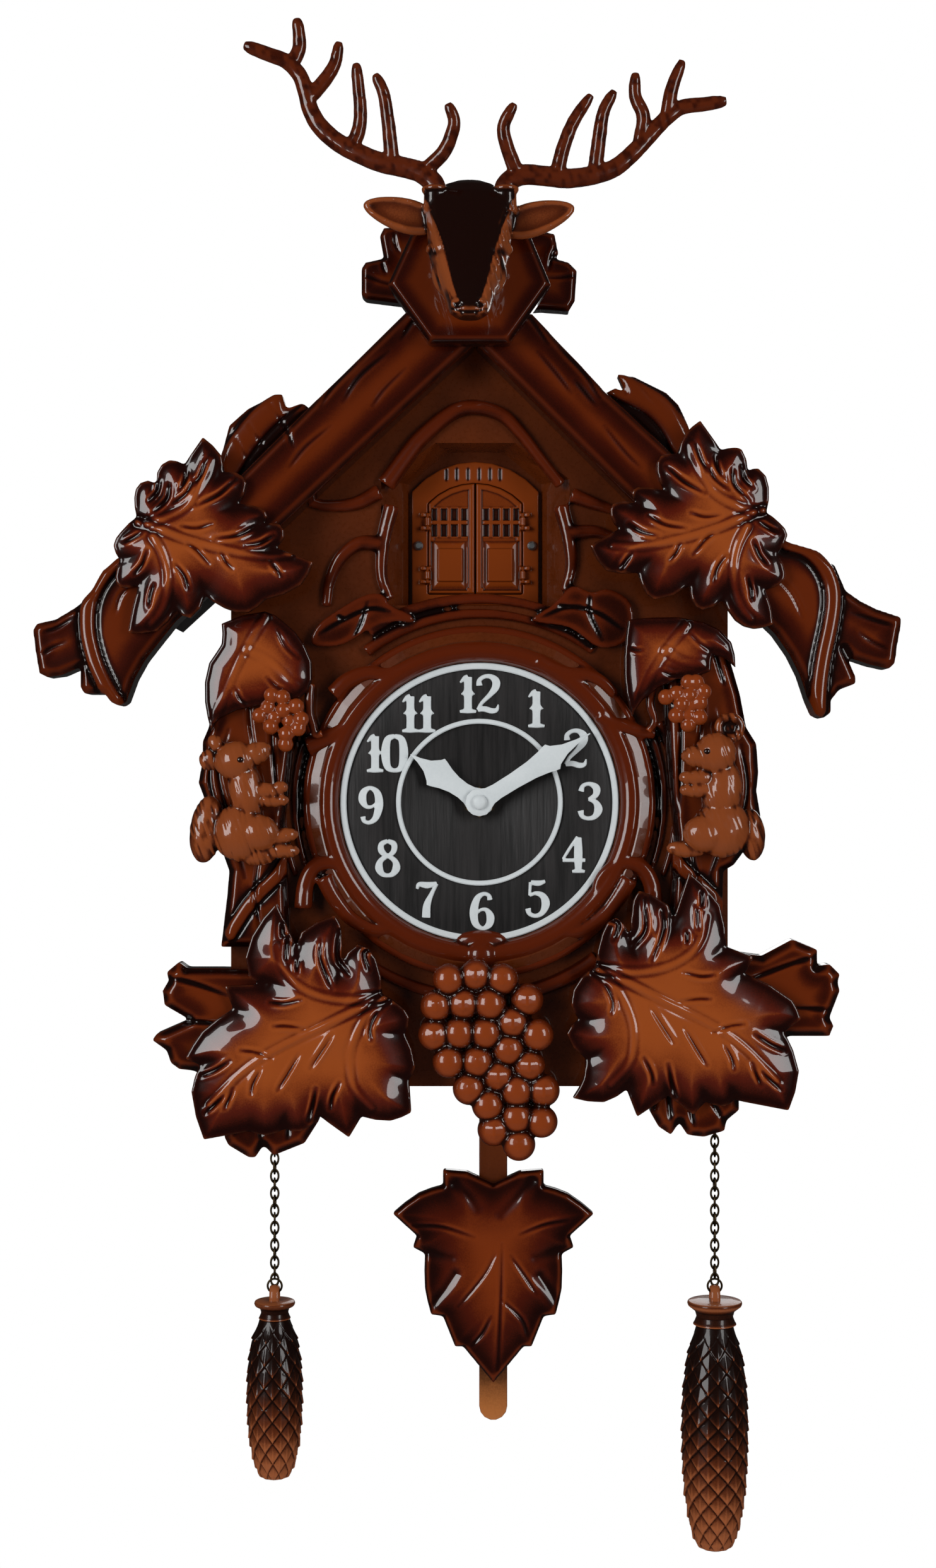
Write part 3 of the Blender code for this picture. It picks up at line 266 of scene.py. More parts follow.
def rimLoop(rim):
    # the same edges in order, as one closed line
    key = lambda p: (round(p[0], 2), round(p[1], 2))
    steps = {}
    for a, b in rim:
        steps.setdefault(key(a), []).append(key(b))
        steps.setdefault(key(b), []).append(key(a))
    start = next(iter(steps))
    loop, last = [start], None
    while len(loop) <= len(steps) + 2:
        following = [p for p in steps[loop[-1]] if p != last]
        if not following or following[0] == start:
            break
        last = loop[-1]
        loop.append(following[0])
    return np.array(loop)


def notches(rim, towards, length=10, bend=0.8, least=35):
    # creases that run inward from the rim's inner corners
    loop = rimLoop(rim)
    x, z = loop[:, 0], loop[:, 1]
    if (x * np.roll(z, -1) - np.roll(x, -1) * z).sum() < 0:
        loop = loop[::-1]
    found = []
    for i in range(len(loop)):
        before, here, after = loop[i - 1], loop[i], loop[(i + 1) % len(loop)]
        u, v = here - before, after - here
        turn = math.degrees(math.atan2(u[0] * v[1] - u[1] * v[0], u @ v))
        if turn > -least:
            continue
        inward = u / np.linalg.norm(u) - v / np.linalg.norm(v)
        inward /= np.linalg.norm(inward)
        home = np.array(towards) - here
        home /= np.linalg.norm(home)
        way = inward + bend * home
        way /= np.linalg.norm(way)
        found.append([here - inward, here + inward * length * 0.35, here + way * length])
    return found


def carve(obj, field, front, back):
    # pushes the front back by the field's depth, less and less towards the back
    points = readPoints(obj)
    share = np.clip((back - points[:, 1]) / (back - front), 0, 1)
    points[:, 1] += share * field(points[:, 0], points[:, 2])
    writePoints(obj, points)


def carveFront(obj, field, low, high, calm=0):
    # carves, then stores how light the finish is at each point
    carve(obj, lambda px, pz: field(px, pz)[0], low.y, high.y)
    if calm:
        useModifier(obj, "SMOOTH", factor=0.5, iterations=calm)
    points = readPoints(obj)
    storeValue(obj, "rim", field(points[:, 0], points[:, 2])[1])
    storeHollow(obj)


def roll(dist, half, high):
    # a round raised bar with a groove along each side
    return (-high * np.sqrt(np.clip(1 - (dist / half) ** 2, 0, 1))
            + 0.3 * high * hump(dist - half - 0.4, 0.8))


def groove(dist, along, wide, deep):
    taper = np.sin(np.pi * np.clip(along, 0.03, 0.97)) ** 0.6
    return deep * taper * hump(dist, wide)


def intoBox(lines, source, target, flip):
    (sx0, sz0, sx1, sz1), (tx0, tz0, tx1, tz1) = source, target
    moved = []
    for line in lines:
        made = []
        for x, z in line:
            u = (x - sx0) / (sx1 - sx0)
            u = 1 - u if flip else u
            made.append((tx0 + u * (tx1 - tx0), tz0 + (z - sz0) / (sz1 - sz0) * (tz1 - tz0)))
        moved.append(made)
    return moved


# Shader maths

class Wire:
    def __init__(self, finish, socket):
        self.finish, self.socket = finish, socket

    def calc(self, operation, other):
        return self.finish.node("ShaderNodeMath", {"operation": operation}, {0: self, 1: other})

    def __add__(self, other):
        return self.calc("ADD", other)

    def __radd__(self, other):
        return self.calc("ADD", other)

    def __sub__(self, other):
        return self.calc("SUBTRACT", other)

    def __rsub__(self, other):
        return self.finish.node("ShaderNodeMath", {"operation": "SUBTRACT"}, {0: other, 1: self})

    def __mul__(self, other):
        return self.calc("MULTIPLY", other)

    def __rmul__(self, other):
        return self.calc("MULTIPLY", other)

    def between(self, low, high):
        return self.finish.node("ShaderNodeMapRange", {"interpolation_type": "SMOOTHSTEP"},
                                {"Value": self, "From Min": low, "From Max": high})


class Finish:
    def __init__(self, name):
        self.made = bpy.data.materials.new(name)
        self.made.use_nodes = True
        self.tree = self.made.node_tree
        self.shader = self.tree.nodes["Principled BSDF"]

    def node(self, kind, settings=None, values=None, out=0):
        made = self.tree.nodes.new(kind)
        for key, value in (settings or {}).items():
            setattr(made, key, value)
        for key, value in (values or {}).items():
            if isinstance(value, Wire):
                self.tree.links.new(value.socket, made.inputs[key])
            else:
                made.inputs[key].default_value = value
        return Wire(self, made.outputs[out])

    def place(self):
        return self.node("ShaderNodeTexCoord", out="Object")

    def stored(self, name):
        return self.node("ShaderNodeAttribute", {"attribute_name": name}, out="Fac")

    def noise(self, scale, detail=3, stretch=(1, 1, 1), rough=0.5):
        moved = self.node("ShaderNodeMapping", {}, {"Vector": self.place(), "Scale": stretch})
        return self.node("ShaderNodeTexNoise", {},
                         {"Vector": moved, "Scale": scale, "Detail": detail, "Roughness": rough})

    def mix(self, factor, first, second):
        full = lambda c: c if isinstance(c, Wire) else (*c, 1)
        return self.node("ShaderNodeMix", {"data_type": "RGBA"},
                         {0: factor, 6: full(first), 7: full(second)}, out=2)

    def bump(self, height, strength, distance=0.0003):
        return self.node("ShaderNodeBump", {}, {"Height": height, "Strength": strength,
                                                "Distance": distance})

    def feed(self, **sockets):
        for key, value in sockets.items():
            key = {"colour": "Base Color", "rough": "Roughness", "metal": "Metallic", "normal": "Normal",
                   "coat": "Coat Weight", "coatRough": "Coat Roughness", "glow": "Emission Color",
                   "glowStrength": "Emission Strength", "specular": "Specular IOR Level"}[key]
            if isinstance(value, Wire):
                self.tree.links.new(value.socket, self.shader.inputs[key])
            else:
                wide = (*value, 1) if isinstance(value, tuple) else value
                self.shader.inputs[key].default_value = wide
        return self.made


def hexColour(text):
    parts = [int(text[i:i + 2], 16) / 255 for i in (0, 2, 4)]
    return tuple(p / 12.92 if p <= 0.04045 else ((p + 0.055) / 1.055) ** 2.4 for p in parts)


def lacquer(name, centre, middle, dark, low=0.1, high=0.75, rough=0.2, coat=0.8, hollowShade=0.8):
    # sprayed lacquer: dark along rims, caramel where the spray missed; painted shade darkens crevices and
    # painted highlight lifts ridges
    made = Finish(name)
    cloud = made.noise(38, 2)
    mist = made.noise(1500, 2)
    rim = made.stored("rim")
    hollow = made.stored("hollow")
    # painted shade and painted highlight: the hollow attribute darkens crevices and lightens ridges
    depth = rim + (cloud - 0.5) * 0.22 + (mist - 0.5) * 0.16 - (hollow - 0.5) * hollowShade
    lift = depth.between(low, high)
    body = made.mix(lift.between(0.0, 0.55), hexColour(dark), hexColour(middle))
    body = made.mix(lift.between(0.45, 1.0), body, hexColour(centre))
    # painted highlight: ridges mixed toward the caramel centre colour
    ridgeHighlight = (0.5 - hollow).between(0.12, 0.42)
    body = made.mix(ridgeHighlight * 0.4, body, hexColour(centre))
    return made.feed(colour=body, rough=(cloud * 0.1 + rough), specular=0.12, coat=coat, coatRough=0.04,
                     normal=made.bump(made.noise(420, 3), 0.06))


finishes = {
    "leaf": lacquer("leafSunburst", "9c4b1e", "58190a", "1a0402", 0.04, 0.95),
    "pendulum": lacquer("pendulumSunburst", "7d3310", "4a1406", "180402", 0.04, 0.95),
    "beam": lacquer("beamBrown", "632407", "3c0e03", "150301", 0.0, 0.95),
    "carving": lacquer("carvingBrown", "682709", "401104", "140402", 0.1, 0.95, hollowShade=1.2),
    "shell": lacquer("shellBrown", "5a1e07", "300b02", "0d0201", 0.15, 1.0, hollowShade=1.4),
    "grape": lacquer("grapeBrown", "8a3c17", "5e220b", "220802", 0.15, 0.85, hollowShade=1.2),
    "fur": lacquer("furBrown", "8a4521", "56230d", "180603", 0.2, 0.9, rough=0.24, hollowShade=1.7),
    "antler": lacquer("antlerBrown", "5a220c", "3c1205", "150402", 0.0, 0.8, hollowShade=0.15),
    "door": lacquer("doorBrown", "7e360d", "561f06", "1c0602", 0.1, 0.8, rough=0.3, coat=0.3,
                    hollowShade=1.3),
}
print("lacquers mixed")


# Camera, lights and the pale room

roomLook = {
    "eyePlace": (-0.0056, -1.162, -0.1866), "lens": 51.43, "sensor": 36, "dimStrength": 0.03,
    "lampAim": (0, -0.05, -0.2), "floorWide": 3.2, "floorZ": -1.3}
# place, size, power, seen in reflections
lamps = {"windowLeft": ((-1.28, -1.30, 0.16), (0.72, 1.15), 19, True),
         "windowRight": ((1.22, -1.30, 0.14), (0.5, 1.15), 12, True),
         "ceiling": ((0.0, -0.75, 1.7), (1.5, 0.8), 7, False),
         "behind": ((0.5, 1.7, 0.5), (1.2, 1.2), 9, True)}


def makeRoom():
    eye = bpy.data.cameras.new("eye")
    eye.sensor_width, eye.lens = roomLook["sensor"], roomLook["lens"]
    camera = newObject("eye", eye)
    camera.location = roomLook["eyePlace"]
    camera.rotation_euler = (math.radians(90), 0, 0)
    bpy.context.scene.camera = camera
    bpy.context.scene.view_settings.view_transform = "Standard"
    for name, (place, size, power, seen) in lamps.items():
        light = bpy.data.lights.new(name, "AREA")
        light.shape, light.size, light.size_y, light.energy = "RECTANGLE", size[0], size[1], power
        lamp = newObject(name, light)
        lamp.location = place
        aim = Vector(roomLook["lampAim"]) - lamp.location
        lamp.rotation_euler = aim.to_track_quat("-Z", "Y").to_euler()
        lamp.visible_glossy = seen
    # the paper-white surround is seen directly, and lights the object only dimly
    world = bpy.data.worlds.new("studio")
    bpy.context.scene.world = world
    world.use_nodes = True
    nodes, links = world.node_tree.nodes, world.node_tree.links
    dim = nodes["Background"]
    dim.inputs["Color"].default_value = (1.0, 0.96, 0.92, 1)
    dim.inputs["Strength"].default_value = roomLook["dimStrength"]
    bright = nodes.new("ShaderNodeBackground")
    bright.inputs["Color"].default_value = (1, 1, 1, 1)
    direct = nodes.new("ShaderNodeLightPath")
    blend = nodes.new("ShaderNodeMixShader")
    links.new(direct.outputs["Is Camera Ray"], blend.inputs[0])
    links.new(dim.outputs[0], blend.inputs[1])
    links.new(bright.outputs[0], blend.inputs[2])
    links.new(blend.outputs[0], nodes["World Output"].inputs[0])
    paper = Finish("floorPaper")
    speck = paper.noise(300, 2)
    sheet = paper.mix(speck, hexColour("f1f1f1"), hexColour("fbfbfb"))
    paper.feed(colour=sheet, rough=0.9, glow=(1.0, 1.0, 1.0), glowStrength=0.35)
    bpy.ops.mesh.primitive_plane_add(size=roomLook["floorWide"], location=(0, 0, roomLook["floorZ"]))
    floor = bpy.context.object
    floor.name = "floor"
    settlePlace(floor)
    floor.data.materials.append(paper.made)
    floor.visible_glossy = False


makeRoom()
print("room lit")


# Vine leaves

leafLook = {
    "tone": 36, "voxel": 0.62, "calm": 3, "fall": 4.4, "reach": 18, "lip": 0.25, "swell": 1.3,
    "veinHigh": 0.75, "strokeDeep": 1.6, "strokeWide": 0.9, "creaseDeep": 1.0}

lowerBox, upperBox = (42, -347, 155, -229), (53, -112, 148, -12)
lowerVeins = [
    [(56.6, -275.7), (70.5, -281.7), (86.6, -289.8), (100.7, -296.8), (115.8, -304.9), (126.8, -312.9),
     (135.9, -322), (142.9, -329)],
    [(58, -276), (67.4, -276.7), (78.5, -276.7), (90.6, -274.2), (100.7, -268.6), (106.7, -260.6),
     (109.2, -250.5)],
    [(57, -277), (61.4, -280.7), (68.4, -288.8), (73.5, -301.9), (73.5, -314.9), (70.5, -323),
     (63.4, -331)]]
lowerStrokes = [
    [(82.1, -293.8), (88, -303), (93.2, -310.9)], [(98.6, -303.9), (104.5, -314), (109.2, -321.5)],
    [(117.3, -310.9), (121, -318), (122.3, -323.5)], [(79, -318), (82.5, -325), (83.6, -331)],
    [(132.4, -306.9), (140, -312), (147, -315)], [(136, -325), (141, -330), (145, -333.6)],
    [(130.9, -321), (133.5, -327), (135.4, -331)], [(88, -247.5), (88.6, -256.6), (83, -271.7)],
    [(79.5, -242.5), (80, -256.6), (74.5, -264.6)], [(99.7, -257.6), (100, -261), (99.7, -263.6)],
    [(104.7, -245.5), (105, -250), (105.2, -256.6)], [(107.2, -238.5), (107.2, -243), (106.7, -246.5)],
    [(90.6, -321), (92.5, -330), (94.6, -337)], [(98, -277), (106, -279), (113, -278.5)],
    [(97, -291), (105, -290), (111, -290)], [(61, -284), (64, -291), (63.5, -297)],
    [(112, -306), (120, -303), (127, -302)], [(62, -252), (67, -254), (65, -262)]]
upperVeins = [
    [(136.2, -55.5), (125.6, -59.4), (112.2, -64.9), (96.6, -69.4), (78.7, -72.8), (64.2, -72.2)],
    [(131.2, -56), (123.4, -53.8), (113.3, -48.2), (107.8, -40.4), (103.3, -31.5), (101.1, -23.6)],
    [(128.4, -63.3), (124, -71.6), (121.7, -81.7), (122.3, -92.9), (125.6, -101.8), (130.1, -107.4)]]
upperStrokes = [
    [(89.9, -34.2), (97.7, -41.5), (107.8, -47.6)], [(81, -58.2), (88.8, -62.7), (98.8, -64.4)],
    [(101, -56.9), (107.8, -58.8), (115, -58.2)], [(96, -71.6), (94, -76), (91, -79.5)],
    [(111.7, -66.6), (107, -71), (102.2, -76.7)], [(117.8, -77.2), (114, -83), (112.2, -89.5)],
    [(121.2, -35.9), (122.3, -43.7), (129, -51)], [(131.2, -70.5), (134, -77), (137.9, -81.7)],
    [(128.5, -87.3), (130, -93), (130.7, -98.4)], [(109, -34), (113, -41), (119, -46)],
    [(104, -24), (106, -31), (109, -37)], [(73, -76), (70, -80), (68, -83)],
    [(113, -30), (114, -35), (116, -40)], [(126, -34), (127, -40), (131, -45)],
    [(72, -62), (78, -66), (85, -68)], [(134, -61), (139, -64), (143, -66)]]


def leafField(look, rim, veins, strokes, creases):
    def field(px, pz):
        dist = rimDistance(px, pz, rim)
        drop = look["fall"] * (1 - ease(dist / look["reach"]))
        drop -= look["lip"] * hump(dist - 1.1, 0.8)
        swell = softNoise(px / 17 + 40, pz / 17 + 9) - 0.5
        drop += look["swell"] * 2 * swell * ease(dist / 12)
        dark = np.clip(dist / look["tone"], 0, 1) ** 0.62
        for number, line in enumerate(veins):
            off, along = lineDistance(px, pz, smoothLine(line))
            thin = 1 - 0.6 * along
            high = look["veinHigh"] * (1.25 if number == 0 else 0.9) * thin
            wide = 1.0 + 0.5 * (1 - along)
            drop += -high * hump(off, wide)
            drop += 0.9 * high * hump(off - wide - 1.2, 0.9)
        for line in strokes:
            off, along = lineDistance(px, pz, smoothLine(line))
            drop += groove(off, along, look["strokeWide"], look["strokeDeep"])
            drop -= groove(off - 1.8, along, 0.8, look["strokeDeep"] * 0.42)
        for line in creases:
            off, along = lineDistance(px, pz, smoothLine(line))
            fade = 1 - along
            drop += look["creaseDeep"] * fade * hump(off, 0.9 + 2.4 * fade)
            # painted shade along each crease, strongest at the rim end
            dark = dark * (1 - 0.75 * fade * hump(off, 3.2))
        return drop, dark
    return field


def makeLeaf(name, node, veins, strokes, look=leafLook, folds=True):
    leaf = copyNode(name, node)
    low, high = nodeBox(node)
    rim = frontRim(leaf)
    base = veins[0][0]
    middle = ((low.x + high.x) / 2 * 0.6 + base[0] * 0.4, (low.z + high.z) / 2 * 0.6 + base[1] * 0.4)
    field = leafField(look, rim, veins, strokes, notches(rim, middle, 12) if folds else [])
    meltTogether(leaf, look["voxel"], look["calm"])
    carveFront(leaf, field, low, high, 2)
    finishPiece(leaf, "case", finishes["leaf"], node)


def frontBox(node):
    low, high = nodeBox(node)
    return low.x, low.z, high.x, high.z


for level, box, veins, strokes in (("lower", lowerBox, lowerVeins, lowerStrokes),
                                   ("upper", upperBox, upperVeins, upperStrokes)):
    for side in ("left", "right"):
        node = f"leaf_{level}_{side}"
        place = frontBox(node)
        flip = side == "left"
        makeLeaf(f"{level}Leaf{side.title()}", node, intoBox(veins, box, place, flip),
                 intoBox(strokes, box, place, flip))

smallLook = {**leafLook, "tone": 26, "voxel": 0.5, "calm": 14, "fall": 2.2, "reach": 9, "lip": 0.3,
             "swell": 1.6, "veinHigh": 0.35, "strokeDeep": 0.8, "strokeWide": 0.8, "creaseDeep": 1.2}
smallLeaves = {
    "Left": ([[(-104, -106), (-111, -118), (-119, -134), (-128, -156)],
              [(-112, -122), (-101, -128), (-88, -140)]],
             [[(-98, -112), (-94, -120), (-88, -126)], [(-103, -135), (-99, -139), (-94, -142)],
              [(-118, -140), (-116, -145), (-113, -148)]]),
    "Right": ([[(100, -110), (92, -120), (83, -134), (76, -150)], [(90, -122), (98, -127), (108, -129)]],
              [[(101, -113), (107, -119), (112, -122)], [(88, -132), (93, -134), (98, -134)],
               [(79, -122), (76, -122), (73, -121)]])}
for side, (veins, strokes) in smallLeaves.items():
    makeLeaf(f"smallLeaf{side}", f"leaf_small_{side.lower()}", veins, strokes, smallLook, False)
print("leaves carved")


# Roof boards, ridge board, plaque, trunks and twigs

beamLook = {"rimDrop": 2.4, "rimWide": 3.2, "grooveDeep": 0.9, "grooveWide": 0.9, "wave": 0.8}
beamRolls = {
    "left": [([(-90, 4), (-99, -3), (-110, -14), (-120, -28), (-127, -42), (-131, -54)], 6.5, 3.6),
             ([(-158, -71), (-172, -77), (-182, -86), (-188, -98), (-189, -112), (-186, -126),
               (-181, -138), (-176, -147)], 4.2, 3.4)],
    "right": [([(66, 8), (76, 3), (86, -3), (94, -12), (100, -24), (105, -36)], 6.5, 3.6),
              ([(148, -70), (157, -73), (164, -79), (169, -88), (170.5, -98), (169, -110), (166, -124),
                (164, -137), (163, -151)], 4.2, 3.4)]}
beamGrooves = {
    "left": [[(-20, 47), (-31, 38), (-38, 28)], [(-44, 22), (-58, 10), (-66, -2)], [(-14, 40), (-24, 28)],
             [(-60, 16), (-70, 6), (-77, -4)], [(-72, -14), (-84, -24), (-92, -34)],
             [(-36, 14), (-46, 4), (-52, -4)], [(-112, -12), (-104, -24)],
             [(-103, 0), (-94, -14), (-90, -24)],
             [(-119, -18), (-112, -30)], [(-160, -86), (-172, -94), (-176, -104)],
             [(-196, -106), (-204, -111), (-210, -113)], [(-150, -84), (-160, -96)],
             [(-200, -118), (-207, -121), (-211, -124)]],
    "right": [[(16, 48), (26, 36), (33, 26)], [(38, 24), (50, 12), (58, 0)], [(8, 46), (16, 34)],
              [(28, 22), (38, 10), (44, 2)], [(60, -14), (70, -26), (78, -34)], [(46, 8), (56, -4)],
              [(76, 10), (82, 2), (88, -4)], [(92, 2), (98, -10), (104, -24)],
              [(140, -84), (150, -94), (156, -106)],
              [(180, -104), (192, -108), (199, -110)], [(132, -80), (142, -90)],
              [(184, -114), (190, -118), (196, -121)]]}


def panelField(look, rims, rolls=(), grooves=(), tone=20):
    def field(px, pz):
        dist = np.min([rimDistance(px, pz, rim) for rim in rims], axis=0)
        drop = look["rimDrop"] * (1 - ease(dist / look["rimWide"]))
        drop += look["wave"] * (softNoise(px / 31 + 3, pz / 31 + 8) - 0.5) * ease(dist / 8)
        dark = np.clip(dist / tone, 0, 1)
        for line, half, high in rolls:
            off, along = lineDistance(px, pz, smoothLine(line))
            drop += roll(off, half, high)
            inside = np.clip(1 - off / half, 0, 1)
            # painted shade on the panel beside each roll, fading out over 7 mm; on the roll itself, darker at
            # its sides and lighter along its crest
            dark = np.where(off < half, 0.25 + 0.75 * inside, dark * ease((off - half + 1) / 7))
        for line in grooves:
            off, along = lineDistance(px, pz, smoothLine(line))
            drop += groove(off, along, look["grooveWide"], look["grooveDeep"])
            drop -= groove(off - 1.7, along, 0.9, look["grooveDeep"] * 0.3)
        return drop, dark
    return field


def makePanel(name, node, look, finish, voxel, levels=(None,), rolls=(), grooves=(), tone=20):
    board = copyNode(name, node)
    low, high = nodeBox(node)
    rims = [frontRim(board, level) for level in levels]
    field = panelField(look, rims, rolls, grooves, tone)
    meltTogether(board, voxel, 3)
    carveFront(board, field, low, high)
    finishPiece(board, "case", finish, node)


for side in ("left", "right"):
    front = nodeBox(f"roof_beam_{side}")[0].y
    makePanel(f"roofBoard{side.title()}", f"roof_beam_{side}", beamLook, finishes["beam"], 0.95,
              levels=(None, front + 9), rolls=beamRolls[side], grooves=beamGrooves[side], tone=19)

ridgeLook = {"rimDrop": 1.8, "rimWide": 2.2, "grooveDeep": 0.9, "grooveWide": 0.8, "wave": 0.5}
makePanel("ridgeBoard", "ridge_board", ridgeLook, finishes["beam"], 0.7, tone=14,
          grooves=[[(-56, 63), (-48, 60), (-40, 58)], [(-42, 84), (-41, 78), (-39, 74)],
                   [(-48, 70), (-46, 64)],
                   [(40, 80), (36, 74), (34, 66)], [(47, 63), (38, 62), (32, 62)]])
plaqueLook = {"rimDrop": 2.6, "rimWide": 2.6, "grooveDeep": 0.0, "grooveWide": 1.0, "wave": 0.3}
makePanel("plaque", "head_plaque", plaqueLook, finishes["beam"], 0.7, tone=13)

barkLook = {"rimDrop": 3.2, "rimWide": 4.0, "grooveDeep": 1.3, "grooveWide": 1.2, "wave": 1.8}
trunkGrooves = {
    "left": [[(-122, -160), (-127, -180), (-121, -205), (-114, -232)],
             [(-108, -125), (-112, -150), (-107, -185)],
             [(-99, -120), (-101, -160), (-98, -200)], [(-130, -170), (-131, -186), (-126, -204)],
             [(-106, -215), (-109, -238), (-106, -260)], [(-118, -130), (-121, -148)]],
    "right": [[(116, -150), (123, -175), (120, -205), (112, -232)], [(104, -125), (108, -150), (104, -185)],
              [(96, -120), (98, -160), (97, -200)], [(127, -168), (130, -188), (127, -206)],
              [(103, -215), (106, -238), (104, -252)], [(114, -122), (119, -138)]]}
trunkRolls = {
    "left": [([(-121, -259), (-111, -244), (-98.5, -231), (-90.5, -219)], 3.4, 2.2)],
    "right": [([(122, -252), (112, -240), (100, -229), (91, -218)], 3.4, 2.2)]}
twigLook = {"rimDrop": 3.0, "rimWide": 4.2, "grooveDeep": 1.6, "grooveWide": 1.6, "wave": 1.6}
twigGrooves = {
    "left": [[(-120, -290), (-136, -284), (-150, -280)], [(-118, -304), (-134, -302), (-148, -301)],
             [(-114, -322), (-116, -340), (-119, -356)], [(-104, -330), (-106, -346), (-106, -360)],
             [(-92, -332), (-92, -346), (-93, -358)]],
    "right": [[(130, -282), (148, -275), (163, -270)], [(134, -296), (152, -295), (170, -296)],
              [(108, -322), (112, -338), (118, -349)], [(100, -326), (102, -340), (104, -352)],
              [(91, -328), (92, -340), (93, -350)]]}
for side in ("left", "right"):
    makePanel(f"trunk{side.title()}", f"trunk_{side}", barkLook, finishes["carving"], 0.8,
              rolls=trunkRolls[side], grooves=trunkGrooves[side], tone=12)
    makePanel(f"twig{side.title()}", f"twig_{side}", twigLook, finishes["carving"], 0.9,
              grooves=twigGrooves[side], tone=16)
print("boards and bark carved")


# Pendulum

pendulumLook = {"rimDrop": 2.0, "rimWide": 1.8, "grooveDeep": 1.0, "grooveWide": 0.9, "wave": 0.6}

pendulumStrokes = [
    [(11.2, -414.4), (10.7, -439.2), (9.2, -477)], [(-2.3, -410.9), (-18.2, -405.9), (-33, -405.6)],
    [(20.1, -409.4), (31.6, -404.9), (43.5, -402.7)], [(8.2, -418.3), (2.7, -429.3), (-10.2, -445.2)],
    [(15.7, -420.3), (22.6, -430.3), (28.6, -439.2)], [(5.7, -450.2), (1.7, -458.2), (-3.3, -464.6)],
    [(11.7, -442.2), (20.6, -451.2), (24.1, -459.7)]]
pendulumFacets = [
    [(-11.7, -385), (-5, -391), (-0.8, -397)], [(26, -383.5), (19, -391), (10.7, -400)],
    [(-12, -429), (-18, -438), (-27, -449)], [(30, -430), (36, -439), (41, -448)],
    [(-33, -417), (-24, -419), (-14, -421)], [(47, -417), (38, -418), (28, -421)]]


def makePendulum():
    leaf = copyNode("pendulumLeaf", "pendulum_leaf")
    low, high = nodeBox("pendulum_leaf")
    rim = frontRim(leaf)
    def field(px, pz):
        dist = rimDistance(px, pz, rim)
        drop = pendulumLook["rimDrop"] * (1 - ease(dist / pendulumLook["rimWide"]))
        drop += 2.2 * (1 - ease(dist / 20)) + 1.0 * hump(np.hypot(px - 8, pz + 418), 16)
        for line in pendulumStrokes:
            off, along = lineDistance(px, pz, smoothLine(line))
            drop += groove(off, along, 0.8, 0.9)
            drop -= groove(off - 1.6, along, 0.9, 0.3)
        for line in pendulumFacets:
            off, along = lineDistance(px, pz, smoothLine(line))
            drop += 1.6 * (1 - 0.5 * along) * hump(off, 2.6)
        return drop, np.clip(dist / 40, 0, 1) ** 0.7

    meltTogether(leaf, 0.7, 2)
    carveFront(leaf, field, low, high)
    finishPiece(leaf, "pendulum", finishes["pendulum"], "pendulum_leaf")
    stick = copyNode("pendulumStick", "pendulum_rod")
    useModifier(stick, "BEVEL", width=0.8 * mm, segments=3, limit_method="ANGLE",
                angle_limit=math.radians(40))
    finishPiece(stick, "pendulum", stickFinish(), "pendulum_rod", angle=35)


def stickFinish():
    made = Finish("stickCaramel")
    height = made.node("ShaderNodeSeparateXYZ", {}, {"Vector": made.place()}, out="Z")
    mist = made.noise(1200, 2)
    shade = (height + (mist - 0.5) * 0.02).between(-0.36, -0.43)
    foot = (height + (mist - 0.5) * 0.01).between(-0.47, -0.505)
    body = made.mix(shade, hexColour("642c0e"), hexColour("2c0d04"))
    body = made.mix(foot, body, hexColour("b9703a"))
    return made.feed(colour=body, rough=0.22, coat=0.7, coatRough=0.05,
                     normal=made.bump(made.noise(500, 2), 0.05))


makePendulum()
print("pendulum hung")


# Building blocks: tubes, plates, balls and turned pieces

def tubePiece(name, points, radii):
    shape = bpy.data.curves.new(name, "CURVE")
    shape.dimensions, shape.bevel_depth, shape.bevel_resolution = "3D", mm, 3
    shape.use_fill_caps = True
    spline = shape.splines.new("POLY")
    spline.points.add(len(points) - 1)
    for point, place, radius in zip(spline.points, points, radii):
        point.co = (*[c * mm for c in place], 1)
        point.radius = radius
    pickOnly(newObject(name, shape))
    bpy.ops.object.convert(target="MESH")
    return bpy.context.object


def smoothTube(name, points, start, end, level):
    line = smoothLine([(x, level, z) for x, z in points], 5)
    return tubePiece(name, line, np.linspace(start, end, len(line)))


def platePiece(name, outline, front, back):
    shape = bpy.data.curves.new(name, "CURVE")
    shape.dimensions, shape.fill_mode = "2D", "BOTH"
    shape.extrude = (back - front) / 2 * mm
    spline = shape.splines.new("POLY")
    spline.points.add(len(outline) - 1)
    for point, (x, z) in zip(spline.points, outline):
        point.co = (x * mm, z * mm, 0, 1)
    spline.use_cyclic_u = True
    made = newObject(name, shape)
    made.rotation_euler = (math.radians(90), 0, 0)
    made.location.y = (front + back) / 2 * mm
    pickOnly(made)
    bpy.ops.object.convert(target="MESH")
    return faceOutward(settlePlace(bpy.context.object))


def ballPiece(name, place, radii, turn=0, segments=28, rings=18):
    bpy.ops.object.select_all(action="DESELECT")
    bpy.ops.mesh.primitive_uv_sphere_add(segments=segments, ring_count=rings, radius=mm,
                                         location=[c * mm for c in place], scale=radii,
                                         rotation=(0, math.radians(turn), 0))
    made = bpy.context.object
    made.name = name
    settlePlace(made)
    return made


def addTorus(major, minor, segments, rotation=(0, 0, 0), place=(0, 0, 0)):
    bpy.ops.object.select_all(action="DESELECT")
    bpy.ops.mesh.primitive_torus_add(major_radius=major * mm, minor_radius=minor * mm,
                                     major_segments=segments[0], minor_segments=segments[1],
                                     rotation=rotation, location=[c * mm for c in place])
    return bpy.context.object


